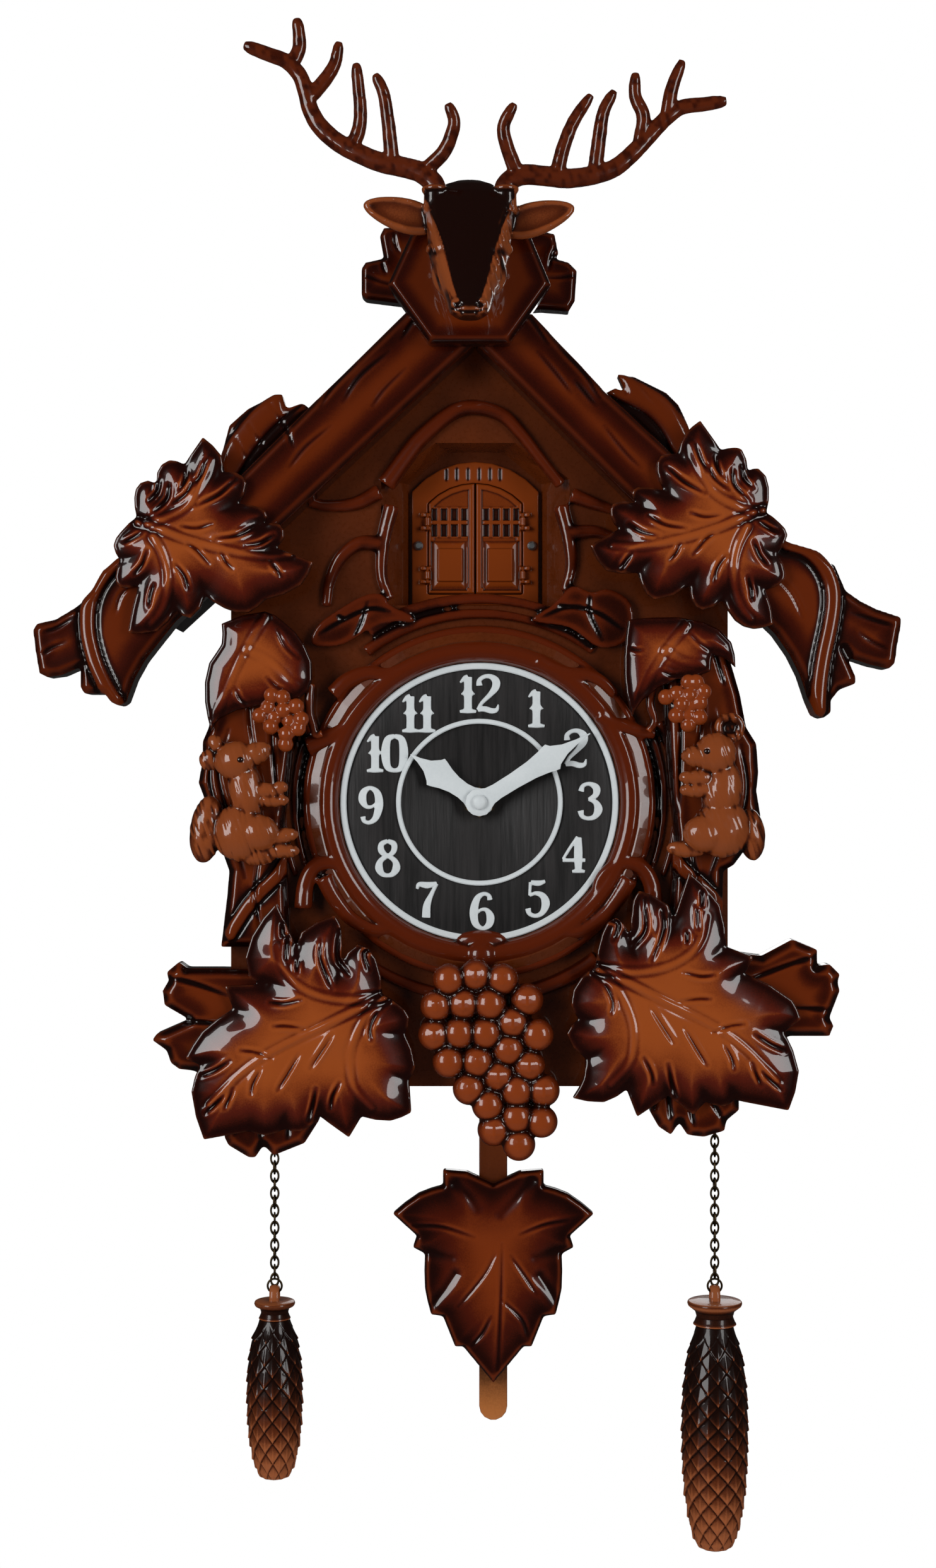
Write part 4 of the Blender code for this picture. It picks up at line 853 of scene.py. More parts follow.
def turnedPiece(name, profile, centre, steps=72, axis="Z"):
    # profile holds (radius, height) points from one end of the axis to the other
    made = newObject(name, bpy.data.meshes.new(name))
    points = [(r * mm, 0, h * mm) for r, h in profile]
    made.data.from_pydata(points, [(i, i + 1) for i in range(len(points) - 1)], [])
    useModifier(made, "SCREW", angle=2 * math.pi, steps=steps, render_steps=steps,
                use_merge_vertices=True, merge_threshold=1e-5)
    made.rotation_euler = (math.radians(90), 0, 0) if axis == "Y" else (0, 0, 0)
    made.location = [c * mm for c in centre]
    settlePlace(made)
    return faceOutward(made)


def ringPiece(name, profile, centre, steps=96):
    # a closed profile turned about the Y axis: (radius, depth towards the viewer)
    return turnedPiece(name, [*profile, profile[0]], centre, steps, "Y")


def depthTone(obj, far, near):
    # painted shade: darker the nearer a point lies to the panel, lighter the further it stands forward
    storeValue(obj, "rim", np.clip((far - readPoints(obj)[:, 1]) / (far - near), 0, 1))


# Carving on the case front

dialLow, dialHigh = nodeBox("dial_plate")
panelY = dialHigh.y
dialCentre = ((dialLow.x + dialHigh.x) / 2, (dialLow.z + dialHigh.z) / 2)
carvingLook = {"vineHalf": 4.6, "vineOut": 5.6, "ridgeHalf": 4.2, "ridgeOut": 0.5, "archHalf": 5.0,
               "archOut": 0.6, "squash": 0.6, "reliefOut": 4.6, "melt": 0.95, "smooth": 3,
               "strokeWide": 0.9, "strokeDeep": 1.3, "toneDeep": 8.5}
# radius and height towards the viewer, from the dial's edge outwards
bezelProfile = [(68.9, -1), (68.9, 4.6), (69.6, 6.4), (71.2, 8.2), (73.6, 9.3), (76.2, 9.0), (78.4, 7.2),
                (79.8, 4.8), (81, 4.6), (82.4, 6.0), (84.4, 6.4), (86.2, 4.8), (87.2, -1)]
# radius, first and last angle clockwise from the top, half width, height above the panel
arcBars = [(92.5, -37, 37, 3.2, 0.4), (99.8, -33, 33, 3.4, 0.4), (96, 143, 217, 4.5, 0)]
arcBars += [(radius, side * 66, side * 112, half, -0.2) for side in (-1, 1)
            for radius, half in ((90.5, 2.6), (97, 2.8), (103.5, 3.2))]
gableBars = [[(side * 22 - 3, 20), (side * 48 - 3, -6), (side * 76 - 3, -38)] for side in (-1, 1)]
gableHalf = 3.2
vines = [
    [(-71.4, -143), (-64.3, -136), (-54.8, -132.4), (-46.5, -133), (-39.4, -130.6), (-31, -127)],
    [(28.3, -126.5), (36.6, -130.6), (44.9, -133), (53.2, -133.6), (60.3, -137), (66.2, -143)],
    [(-84.4, -168), (-77.3, -165.6), (-69, -161), (-63, -155), (-60, -150)],
    [(59, -152.6), (62.7, -156), (71, -158.5), (79.3, -161), (85.8, -162)],
    [(-86.2, -247.5), (-85, -235.6), (-80.9, -227.3), (-73.8, -225), (-66.6, -227.3), (-61.9, -234.4),
     (-60, -241.5)],
    [(-76, -232), (-71.4, -241.5), (-63, -252), (-52.4, -257.5), (-41.7, -258), (-32.2, -264.7)],
    [(85.8, -247.5), (84, -235.6), (79.3, -227.3), (71, -225), (63.8, -228), (58.5, -234.4),
     (57.3, -241.5)],
    [(73.3, -233), (67.4, -242.7), (60.3, -251), (49.6, -258), (37.8, -259.3), (28.3, -264.7)]]
ridges = [
    [(-48.9, -43), (-60.9, -49), (-74.4, -50), (-84.9, -47.7)], [(45, -44.7), (56.3, -49), (65.3, -52)],
    [(-48.9, -68.7), (-59.4, -68.7), (-68.4, -76), (-73.7, -88), (-75.2, -99.5)],
    [(45, -63.5), (56.3, -62.7), (66, -66)],
    [(-43, -50), (-47, -66), (-48, -84), (-44, -96)], [(40, -50), (44, -66), (45, -80), (42, -92)]]
browArch = [(-46, -40), (-36, -26), (-27.8, -16), (-12.8, -4), (-0.8, -1.9), (11.2, -5.6), (20.2, -14.6),
            (29, -26), (40, -40)]
reliefLeaves = [
    [(-82, -118), (-79, -109), (-70, -102), (-58, -95), (-49, -93.5), (-43, -99.5), (-32, -106.3),
     (-49, -108), (-67, -118.3)],
    [(26.3, -106.3), (35.3, -99.5), (45.8, -90), (54.8, -92.8), (63.8, -91.3), (74.4, -98.8), (73, -115.3),
     (59.3, -119.8), (44, -110)]]

reliefStrokes = [
    [(-78, -113), (-66, -106), (-54, -101), (-44, -102)], [(-62, -116), (-58, -108), (-55, -98)],
    [(30, -105), (44, -100), (58, -103), (70, -111)], [(54, -94), (54, -103), (60, -116)],
    [(38, -99), (44, -100)], [(-70, -104), (-66, -106)]]


def arcPoints(radius, start, end, count=17):
    return [(dialCentre[0] + radius * math.sin(math.radians(a)),
             dialCentre[1] + radius * math.cos(math.radians(a))) for a in np.linspace(start, end, count)]


def makeFrontCarving(look):
    parts = [ringPiece("bezel", bezelProfile, (dialCentre[0], panelY, dialCentre[1]))]
    tubes = [(line, look["vineHalf"], look["vineOut"]) for line in vines]
    tubes += [(line, look["ridgeHalf"], look["ridgeOut"]) for line in ridges]
    tubes += [(browArch, look["archHalf"], look["archOut"])]
    tubes += [(arcPoints(radius, start, end), half, out) for radius, start, end, half, out in arcBars]
    tubes += [(line, gableHalf, 0) for line in gableBars]
    for number, (line, half, out) in enumerate(tubes):
        parts.append(smoothTube(f"vine{number}", line, half, half * look["squash"], panelY - out))
    for number, outline in enumerate(reliefLeaves):
        parts.append(platePiece(f"relief{number}", smoothLine(outline, 4, loop=True),
                                panelY - look["reliefOut"], panelY + 1))
    parts.append(ballPiece("knob", (1, panelY - 4, -270), (8.5, 8, 7.5)))
    parts.append(ballPiece("knobLow", (1, panelY - 3, -263), (13, 5, 5)))
    whole = joinPieces("frontCarving", parts)
    meltTogether(whole, look["melt"], look["smooth"])
    points = readPoints(whole)
    drop = np.zeros(len(points))
    for line in reliefStrokes:
        off, along = lineDistance(points[:, 0], points[:, 2], smoothLine(line))
        drop += groove(off, along, look["strokeWide"], look["strokeDeep"])
    points[:, 1] += drop * (points[:, 1] < panelY - 1)
    writePoints(whole, points)
    depthTone(whole, panelY, panelY - look["toneDeep"])
    storeHollow(whole)
    finishPiece(whole, "case", finishes["shell"], slot="shell_brown")


makeFrontCarving(carvingLook)
print("case front carved")


# Dial, numerals and hands

strokesOf = {
    "0": [[(0, .46, .045), (.17, .36, .075), (.22, 0, .095), (.17, -.36, .075), (0, -.46, .045),
           (-.17, -.36, .075), (-.22, 0, .095), (-.17, .36, .075), (0, .46, .045)]],
    "1": [[(0, .45, .085), (0, .12, .085), (0, .02, .125), (0, -.08, .085), (0, -.45, .085)],
          [(-.19, .3, .02), (-.08, .42, .05), (0, .46, .05)],
          [(-.2, -.47, .03), (0, -.45, .055), (.2, -.47, .03)],
          [(-.17, 0, .012), (0, 0, .06), (.17, 0, .012)]],
    "2": [[(-.2, .22, .07), (-.2, .36, .05), (-.08, .46, .045), (.08, .46, .055), (.2, .34, .085),
           (.19, .17, .08), (.06, -.02, .055), (-.14, -.24, .04), (-.24, -.42, .035)],
          [(-.24, -.43, .04), (-.08, -.4, .06), (.1, -.45, .06), (.22, -.42, .045), (.26, -.28, .015)]],
    "3": [[(-.21, .26, .065), (-.16, .41, .045), (0, .46, .045), (.16, .35, .08), (.14, .16, .065),
           (-.03, .05, .03)],
          [(-.03, .05, .03), (.14, -.03, .06), (.21, -.22, .09), (.12, -.41, .06), (-.04, -.46, .045),
           (-.18, -.4, .05), (-.22, -.25, .07)]],
    "4": [[(.08, .46, .03), (-.1, .16, .035), (-.27, -.14, .03)], [(-.28, -.17, .04), (.27, -.17, .04)],
          [(.1, .44, .07), (.1, 0, .09), (.1, -.44, .07)], [(-.05, -.47, .03), (.1, -.45, .05),
                                                            (.26, -.47, .03)]],
    "5": [[(-.15, .43, .05), (.04, .41, .06), (.2, .46, .035)], [(-.16, .44, .035), (-.18, .08, .03)],
          [(-.18, .08, .03), (-.03, .14, .045), (.14, .07, .07), (.21, -.13, .09), (.13, -.37, .06),
           (-.03, -.46, .045), (-.18, -.4, .05), (-.22, -.26, .065)]],
    "6": [[(.18, .3, .06), (.15, .42, .045), (.02, .46, .045), (-.13, .33, .07), (-.21, 0, .09),
           (-.17, -.32, .075), (0, -.46, .045), (.16, -.35, .075), (.19, -.14, .085), (.1, .03, .05),
           (-.03, .04, .035), (-.15, -.06, .03)]],
    "7": [[(-.24, .3, .03), (-.19, .42, .05), (0, .4, .07), (.16, .43, .05), (.24, .46, .035)],
          [(.24, .44, .035), (.1, .14, .05), (0, -.14, .08), (-.02, -.46, .09)]],
    "8": [[(0, .46, .045), (.15, .37, .065), (.14, .18, .06), (0, .07, .045), (-.15, .19, .07),
           (-.15, .37, .06), (0, .46, .045)],
          [(0, .07, .045), (.17, -.07, .06), (.21, -.26, .085), (.12, -.42, .06), (0, -.46, .045),
           (-.13, -.42, .06), (-.21, -.26, .085), (-.17, -.07, .06), (0, .07, .045)]]}
strokesOf["9"] = [[(-x, -z, half) for x, z, half in line] for line in strokesOf["6"]]
numeralPlaces = {
    "12": (-0.8, 53), "1": (27.9, 45.9), "2": (47, 26.3), "3": (54, 0.5), "4": (46.4, -25.3),
    "5": (28.2, -47.2), "6": (1.5, -53.4), "7": (-25.7, -48), "8": (-44.9, -27.4), "9": (-53.4, -1.5),
    "10": (-46.3, 24), "11": (-29.7, 43.5)}
numeralLook = {"tall": 18.4, "widen": 1.1, "bolder": 1.32, "apart": 9.6, "onesApart": 8.2, "proud": 0.75,
               "melt": 0.26, "keep": 0.3}
# the ring's node and its width
dialRings = {"outerRing": ("dial_ring", 3.1), "innerRing": ("chapter_ring", 2.4)}


def paintFinish(name, colour, dark, rough=0.42, grain=900, bumpiness=0.12):
    made = Finish(name)
    cloud = made.noise(70, 3)
    grainy = made.noise(grain, 3)
    body = made.mix((cloud * 0.6 + grainy * 0.4), hexColour(dark), hexColour(colour))
    return made.feed(colour=body, rough=(grainy * 0.12 + rough), normal=made.bump(grainy, bumpiness))


finishes["white"] = paintFinish("dialWhite", "e6ebec", "c9d1d4", 0.4)


def slateFinish():
    # painted board whose upright grain still shows
    made = Finish("dialSlate")
    grain = made.noise(420, 4, (1.0, 1.0, 0.06), 0.6)
    broad = made.noise(90, 3, (1.0, 1.0, 0.1))
    streak = (grain * 0.7 + broad * 0.3).between(0.35, 0.65)
    body = made.mix(streak, hexColour("0d0b0b"), hexColour("221f1f"))
    return made.feed(colour=body, rough=(grain * 0.2 + 0.4), normal=made.bump(grain, 0.6))


finishes["slate"] = slateFinish()


def makeDial(look):
    plate = copyNode("dialFace", "dial_plate")
    useModifier(plate, "BEVEL", width=0.25 * mm, segments=2, limit_method="ANGLE",
                angle_limit=math.radians(40))
    finishPiece(plate, "case", finishes["slate"], "dial_plate", angle=35)
    for name, (node, wide) in dialRings.items():
        low, high = nodeBox(node)
        outer = (high.x - low.x) / 2
        inner = outer - wide
        ring = ringPiece(name, [(inner, 0), (inner, 0.9), (inner + 0.5, 1.4), (outer - 0.5, 1.4),
                                (outer, 0.9), (outer, 0)],
                         (dialCentre[0], high.y + 0.2, dialCentre[1]), 128)
        finishPiece(ring, "case", finishes["white"], node, angle=35)
    faceY = dialLow.y
    parts = []
    for text, (cx, cz) in numeralPlaces.items():
        for number, digit in enumerate(text):
            apart = look["onesApart"] if text == "11" else look["apart"]
            shift = 0 if len(text) == 1 else (number - 0.5) * apart
            for line in strokesOf[digit]:
                tall = look["tall"]
                points = smoothLine([(cx + shift + look["widen"] * x * tall + dialCentre[0],
                                      look["bolder"] * half * tall,
                                      cz + z * tall + dialCentre[1]) for x, z, half in line], 5)
                parts.append(tubePiece("stroke", [(x, 0, z) for x, half, z in points], points[:, 1]))
    digits = joinPieces("numerals", parts)
    meltTogether(digits, look["melt"], 1)
    points = readPoints(digits)
    points[:, 1] = faceY + 0.1 + np.clip(points[:, 1], -look["proud"] - 0.1, 0.2)
    writePoints(digits, points)
    useModifier(digits, "DECIMATE", ratio=look["keep"])
    finishPiece(digits, "case", finishes["white"], slot="dial_white", angle=35)


hourHalf = [(-6.9, 0.4), (-6, 3.4), (-3.5, 5.9), (0, 6.9), (3.5, 5.9), (6, 4.7), (10, 4.1), (15, 4.4),
            (20, 5.6),
            (24, 7.2), (26, 7.8), (27.2, 6.2), (31, 3.2), (36, 1.3), (41, 0.25)]
minuteHalf = [(-6.9, 0.4), (-6, 3.4), (-3.5, 5.9), (0, 6.9), (3.5, 5.6), (6, 4.4), (10, 3.9), (20, 4.0),
              (30, 4.6),
              (37, 5.8), (40, 6.7), (42, 7.0), (43.6, 5.2), (49, 2.7), (56, 1.2), (63.6, 0.25)]
# the inner and outer radius of each hand's shaft stand under its node's name
handLook = {"thick": 1.2, "minute_hand": (0.3, 1.3), "hour_hand": (1.7, 2.6)}


def makeHand(look, name, node, half, turn):
    low, high = nodeBox(node)
    a = math.radians(turn)
    both = half + [(along, -side) for along, side in reversed(half)]
    outline = [(dialCentre[0] + along * math.sin(a) + side * math.cos(a),
                dialCentre[1] + along * math.cos(a) - side * math.sin(a)) for along, side in both]
    hand = platePiece(name, outline, low.y, low.y + look["thick"])
    useModifier(hand, "BEVEL", width=0.3 * mm, segments=2, limit_method="ANGLE",
                angle_limit=math.radians(60))
    inner, outer = look[node]
    deep = high.y - low.y - look["thick"] / 2
    tube = ringPiece("tube", [(inner, 0), (inner, deep), (outer, deep), (outer, 0)],
                     (dialCentre[0], high.y, dialCentre[1]), 32)
    finishPiece(joinPieces(name, [hand, tube]), node, finishes["white"], node, angle=35)


def makeHandCap():
    low, high = nodeBox("hand_cap")
    deep = high.y - low.y
    cap = turnedPiece("handCap", [(0, deep), (1.6, deep - 0.1), (2.8, deep - 0.6), (3.5, deep - 1.3),
                                  (3.7, deep - 1.9), (3.7, 0.2), (3.5, 0), (0, 0)],
                      (dialCentre[0], high.y, dialCentre[1]), 48, "Y")
    finishPiece(cap, "minute_hand", finishes["white"], "hand_cap", angle=40)


makeDial(numeralLook)
makeHand(handLook, "hourHand", "hour_hand", hourHalf, 304.8)
makeHand(handLook, "minuteHand", "minute_hand", minuteHalf, 58.1)
makeHandCap()
print("dial lettered")


# Bird doors and their frame

doorLook = {
    "voxel": 0.32, "rimWide": 2.3, "recess": 0.9, "lattice": 1.3, "barHalf": 1.1, "frontY": -46.8,
    "window": (-23.9, -63.5, -6.0, -49.0), "uprights": (-20.1, -15, -9.8), "rails": (-56.3, -64.3, -48.4),
    "panel": (-24.2, -90.4, -6, -65.6), "raised": (-21.5, -87.6, -8.3, -67), "raisedSlope": 1.6,
    "mirrorAt": -4}


def within(px, pz, box, soft=0.35):
    x0, z0, x1, z1 = box
    inside = np.minimum(np.minimum(px - x0, x1 - px), np.minimum(pz - z0, z1 - pz))
    return ease(inside / soft * 0.5 + 0.5)


def doorField(look, px, pz, rim):
    dist = rimDistance(px, pz, rim)
    drop = 0.5 * (1 - ease(dist / 0.7)) + look["recess"] * ease((dist - look["rimWide"]) / 0.5)
    openHole = within(px, pz, look["window"])
    bars = np.zeros(len(px))
    for x in look["uprights"]:
        bars = np.maximum(bars, ease((look["barHalf"] - np.abs(px - x)) / 0.4))
    for z in look["rails"]:
        bars = np.maximum(bars, ease((look["barHalf"] - np.abs(pz - z)) / 0.4))
    hole = openHole * (1 - bars)
    drop = drop * (1 - openHole) + openHole * (look["lattice"] * (1 - bars) + 0.35 * bars)
    field = within(px, pz, look["raised"], look["raisedSlope"])
    lower = within(px, pz, look["panel"])
    drop = drop * (1 - lower) + lower * (1.1 - 0.85 * field)
    # painted shade: deeper parts darker, the recessed window lattice darker still
    dark = np.clip(0.9 - drop * 0.35, 0, 1) * (1 - 0.35 * hole)
    return drop, dark


def makeDoor(side):
    node = f"door_{side}"
    door = copyNode(f"birdDoor{side.title()}", node)
    front, back = doorLook["frontY"], nodeBox(node)[1].y
    rim = frontRim(door, front)
    meltTogether(door, doorLook["voxel"], 1)
    mirror = (lambda px: px) if side == "left" else (lambda px: doorLook["mirrorAt"] - px)
    rimSame = rim.copy()
    rimSame[:, :, 0] = mirror(rim[:, :, 0])
    points = readPoints(door)
    drop, dark = doorField(doorLook, mirror(points[:, 0]), points[:, 2], rimSame)
    plateOnly = points[:, 1] > front - 0.35
    share = np.clip((back - points[:, 1]) / (back - front), 0, 1) * plateOnly
    points[:, 1] += share * drop
    writePoints(door, points)
    storeValue(door, "rim", np.where(plateOnly, dark, 0.8))
    storeHollow(door, 6, 0.5)
    finishPiece(door, node, finishes["door"], node)


louvreLook = {"voxel": 0.5, "window": (-20, -35.5, 16, -29), "slats": (-16.4, -11.2, -5.6, 0, 5.4, 10.4),
              "deep": 1.3, "slatHalf": 0.9}


def makeDoorFrame(look):
    surround = copyNode("doorFrame", "door_frame")
    low, high = nodeBox("door_frame")
    rim = frontRim(surround)
    meltTogether(surround, look["voxel"], 1)

    def field(px, pz):
        drop = 0.9 * (1 - ease(rimDistance(px, pz, rim) / 1.3))
        louvre = within(px, pz, look["window"], 1.5)
        for x in look["slats"]:
            drop += look["deep"] * louvre * hump(px - x, look["slatHalf"])
        return drop

    carve(surround, field, low.y, high.y)
    points = readPoints(surround)
    # painted shade: the frame is darker where it is carved deeper, most in the louvre slots
    storeValue(surround, "rim", np.clip(0.75 - field(points[:, 0], points[:, 2]) * 0.4, 0, 1))
    storeHollow(surround, 6, 0.5)
    finishPiece(surround, "case", finishes["door"], "door_frame")


for side in ("left", "right"):
    makeDoor(side)
makeDoorFrame(louvreLook)
print("doors panelled")


# Stag head and antlers

stagX, antlerY = -5.0, panelY - 50.0
headLook = {"melt": 0.75, "furDeep": 1.0}
# height: half width, flat front half width, front, widest depth, back
headRings = [(98, 6, 4, -107, -103, -98), (95.5, 12, 8, -111, -104, -97), (91, 17, 12, -115, -106, -95.5),
             (86, 19.5, 14.5, -118, -108, -95),
             (80, 20.5, 15, -121, -110, -94.4), (74, 20, 14.5, -124.5, -113, -94.4),
             (66, 19.5, 13, -128.5, -116, -94.4), (58, 18.5, 11.5, -132, -119, -94.4),
             (50, 16.5, 9.5, -136, -122, -97), (42, 13.5, 8, -140.5, -127, -104),
             (36, 11.3, 6.8, -144.5, -132, -113), (31, 9.9, 6.4, -147.5, -137, -122),
             (28, 8.7, 5.6, -148.5, -140, -130), (25.6, 5.5, 3.6, -146.5, -141, -135)]
antlerLines = {
    "left": [
        [(-21, 88, 0), (-21, 94, 0), (-27, 100, 0), (-35, 103, 1), (-47, 106, 2), (-58, 111, 3),
         (-68, 117, 4),
         (-76, 125, 4), (-80, 133, 4), (-82, 141, 3), (-85, 149, 3), (-91, 155, 2), (-99, 158, 1),
         (-110.5, 162.2, 0)],
        [(-26, 101, 0), (-17, 109, -4), (-13, 117, -8), (-12, 123, -10), (-15, 130, -12)],
        [(-41, 104, 1), (-42, 115, 0), (-43, 125, -1), (-45, 138, -2), (-49, 147, -3)],
        [(-61, 112, 3), (-57, 121, 2), (-56, 130, 1), (-57, 143, 0), (-58, 153, -1)],
        [(-81, 137, 4), (-73, 146, 3), (-68, 154, 2), (-66, 164, 1)],
        [(-89, 153, 3), (-85, 161, 3), (-85, 169, 2), (-86, 175.5, 1)]],
    "right": [
        [(12, 88, 0), (12, 94, 0), (19, 99, 0), (30, 99, 1), (41, 98, 2), (54, 100, 3), (64, 104, 4),
         (73, 112, 4),
         (82, 122, 4), (88, 128, 3), (95, 133, 3), (104, 134, 2), (115.5, 135, 0)],
        [(18, 99, 0), (13, 110, -6), (11, 120, -9), (16, 130, -12)],
        [(36, 99, 1), (39, 112, 0), (44, 125, -1), (52, 137, -3)],
        [(54, 101, 3), (56, 117, 2), (58, 130, 1), (63, 140, 0)],
        [(75, 114, 4), (77, 128, 3), (73, 138, 2), (73, 149, 1)],
        [(88, 127, 3), (90, 141, 2), (95, 155, 1)]]}


def loftHead():
    rows = []
    for z, w, wf, front, mid, back in headRings:
        row = []
        for a in np.linspace(0, math.pi / 2, 8, endpoint=False):
            row.append((-w + (w - wf) * (1 - math.cos(a)), mid + (front - mid) * math.sin(a)))
        row += [(-wf + 2 * wf * t, front - 0.9 * math.sin(math.pi * t)) for t in np.linspace(0, 1, 9)]
        for a in np.linspace(math.pi / 2, 0, 9)[1:]:
            row.append((w - (w - wf) * (1 - math.cos(a)), mid + (front - mid) * math.sin(a)))
        for a in np.linspace(0, math.pi, 14)[1:-1]:
            row.append((w * math.cos(a), mid + (back - mid) * math.sin(a)))
        rows.append([(stagX + x, y, z) for x, y in row])
    count = len(rows[0])
    points = [p for row in rows for p in row]
    faces = [(i * count + j, i * count + (j + 1) % count, (i + 1) * count + (j + 1) % count,
              (i + 1) * count + j) for i in range(len(rows) - 1) for j in range(count)]
    faces += [tuple(range(count)), tuple(range((len(rows) - 1) * count, len(rows) * count))]
    made = newObject("skull", bpy.data.meshes.new("skull"))
    made.data.from_pydata([[c * mm for c in p] for p in points], [], faces)
    return faceOutward(made)


def makeEar(name, root, tip, half):
    (rx, rz), (tx, tz) = root, tip
    long = math.hypot(tx - rx, tz - rz) / 2 + 1
    ear = ballPiece(name, (0, 0, 0), (long, 5.2, half), 0, 48, 32)
    points = readPoints(ear)
    u, v = points[:, 0] / long, points[:, 2] / half
    points[:, 2] *= 1 - 0.25 * u
    dish = np.clip(1 - (u / 0.88) ** 2 - (v / 0.72) ** 2, 0, 1) ** 0.5
    points[:, 1] += np.where(points[:, 1] < 0, 4.2 * dish, 0)
    a = math.atan2(tz - rz, tx - rx)
    x, z = points[:, 0].copy(), points[:, 2].copy()
    points[:, 0] = x * math.cos(a) - z * math.sin(a) + (rx + tx) / 2
    points[:, 2] = x * math.sin(a) + z * math.cos(a) + (rz + tz) / 2
    points[:, 1] += antlerY + 4.5
    writePoints(ear, points)
    return ear


def makeHead(look):
    parts = [loftHead(), makeEar("earLeft", (-21, 77), (-54, 86), 8),
             makeEar("earRight", (11, 75), (43.8, 84.5), 8)]
    for x, z in ((-21, 90), (12, 90)):
        parts.append(turnedPiece("pedicle", [(0, -10), (5.6, -9), (5.2, 0), (6.4, 1), (6.6, 2.4),
                                             (5.2, 3.4), (0, 3.6)], (x, antlerY, z), 40))
    for sign in (-1, 1):
        parts.append(ballPiece("brow", (stagX + sign * 14.5, -121.5, 62.5), (6, 4.5, 3.4), sign * 14))
        parts.append(ballPiece("cheek", (stagX + sign * 10, -124, 49), (7.5, 8, 10), sign * 12))
        parts.append(ballPiece("nostril", (stagX + sign * 5.2, -145.5, 31), (3.4, 3.4, 3.2)))
    head = joinPieces("stagHead", parts)
    meltTogether(head, look["melt"], 5)
    points = readPoints(head)
    px, pz = points[:, 0] - stagX, points[:, 2]
    front = points[:, 1] < -104
    nostril = sum(hump(px - s * 5.4, 1.7) * hump(pz - 30.5, 1.4) for s in (-1, 1))
    mouth = hump(pz - 27.2 - 0.03 * px ** 2, 0.6) * (np.abs(px) < 8)
    lids = sum(hump(px - s * 15.6, 3.4) * hump(pz - 58.5, 2.4) for s in (-1, 1))
    planeHalf = np.interp(pz, [28, 34, 40, 50, 60, 74, 84, 92], [3, 4.5, 6.2, 8.6, 11, 15.5, 19, 24])
    plane = ease((planeHalf - np.abs(px)) / 1.2 + 0.5)
    fur = (softNoise(px * 0.95 + pz * 0.3, pz * 0.14 + px * 0.1 + 60) - 0.5) * (np.abs(px) < 20.5)
    seam = hump(np.abs(px) - planeHalf, 0.8) * (pz > 30) * (pz < 80)
    middle = hump(px, 0.35) * (pz > 34)
    points[:, 1] += front * (1.9 * nostril + 0.8 * mouth + 1.6 * lids + 0.5 * seam + 0.25 * middle
                             + look["furDeep"] * 2 * fur * (1 - plane))
    writePoints(head, points)
    inEar = (np.abs(px) > 21) & (pz > 68)
    tone = np.where(front, 0.6 - 0.5 * plane + 1.3 * fur * (1 - plane) - 0.5 * seam, 0.3)
    tone = tone * (0.35 + 0.65 * ease((pz - 26) / 12))
    inPedicle = (pz > 87) & (np.abs(px) > 11)
    storeValue(head, "rim", np.clip(np.where(inEar, 0.7, np.where(inPedicle, 0.12, tone)), 0, 1))
    storeHollow(head, 8)
    finishPiece(head, "case", finishes["fur"], "deer_head")
    eyes = [ballPiece("eye", (stagX + sign * 16.2, -120.2, 58.6), (2.4, 2.4, 2.4), 0, 20, 12)
            for sign in (-1, 1)]
    finishPiece(joinPieces("stagEyes", eyes), "case", eyeFinish(), slot="carving_brown")


def eyeFinish():
    made = Finish("eyeDark")
    speck = made.noise(900, 2)
    return made.feed(colour=made.mix(speck, hexColour("120503"), hexColour("2a0d06")), rough=0.1, coat=1.0,
                     coatRough=0.02)


# half thickness at the root and at the tip
antlerLook = {"beam": (4.9, 3.0), "tine": (3.5, 2.5), "taper": 1.3, "melt": 0.6, "calm": 6, "ripple": 0.15,
              "fatten": 0.25}


def makeAntler(side, look):
    parts = []
    for number, line in enumerate(antlerLines[side]):
        thick, thin = look["tine"] if number else look["beam"]
        points = smoothLine([(x, antlerY + y, 88 + (z - 88) * 0.965) for x, z, y in line], 5)
        share = np.linspace(0, 1, len(points))
        radii = thick + (thin - thick) * share ** look["taper"]
        radii[-3:] *= (0.97, 0.88, 0.6)
        parts.append(tubePiece(f"tine{number}", points, radii))
    antler = joinPieces(f"antler{side.title()}", parts)
    meltTogether(antler, look["melt"], look["calm"])
    points, normals = readPoints(antler), readNormals(antler)
    ripple = softNoise(points[:, 0] * 0.5 + points[:, 2] * 0.12, points[:, 2] * 0.45) - 0.5
    points += normals * (look["ripple"] * ripple[:, None] + look["fatten"])
    writePoints(antler, points)
    storeValue(antler, "rim", np.clip(0.55 + 0.5 * ripple, 0, 1))
    storeHollow(antler, 8)
    finishPiece(antler, "case", finishes["antler"], f"antler_{side}")


makeHead(headLook)
for side in ("left", "right"):
    makeAntler(side, antlerLook)
print("stag mounted")


# Grapes

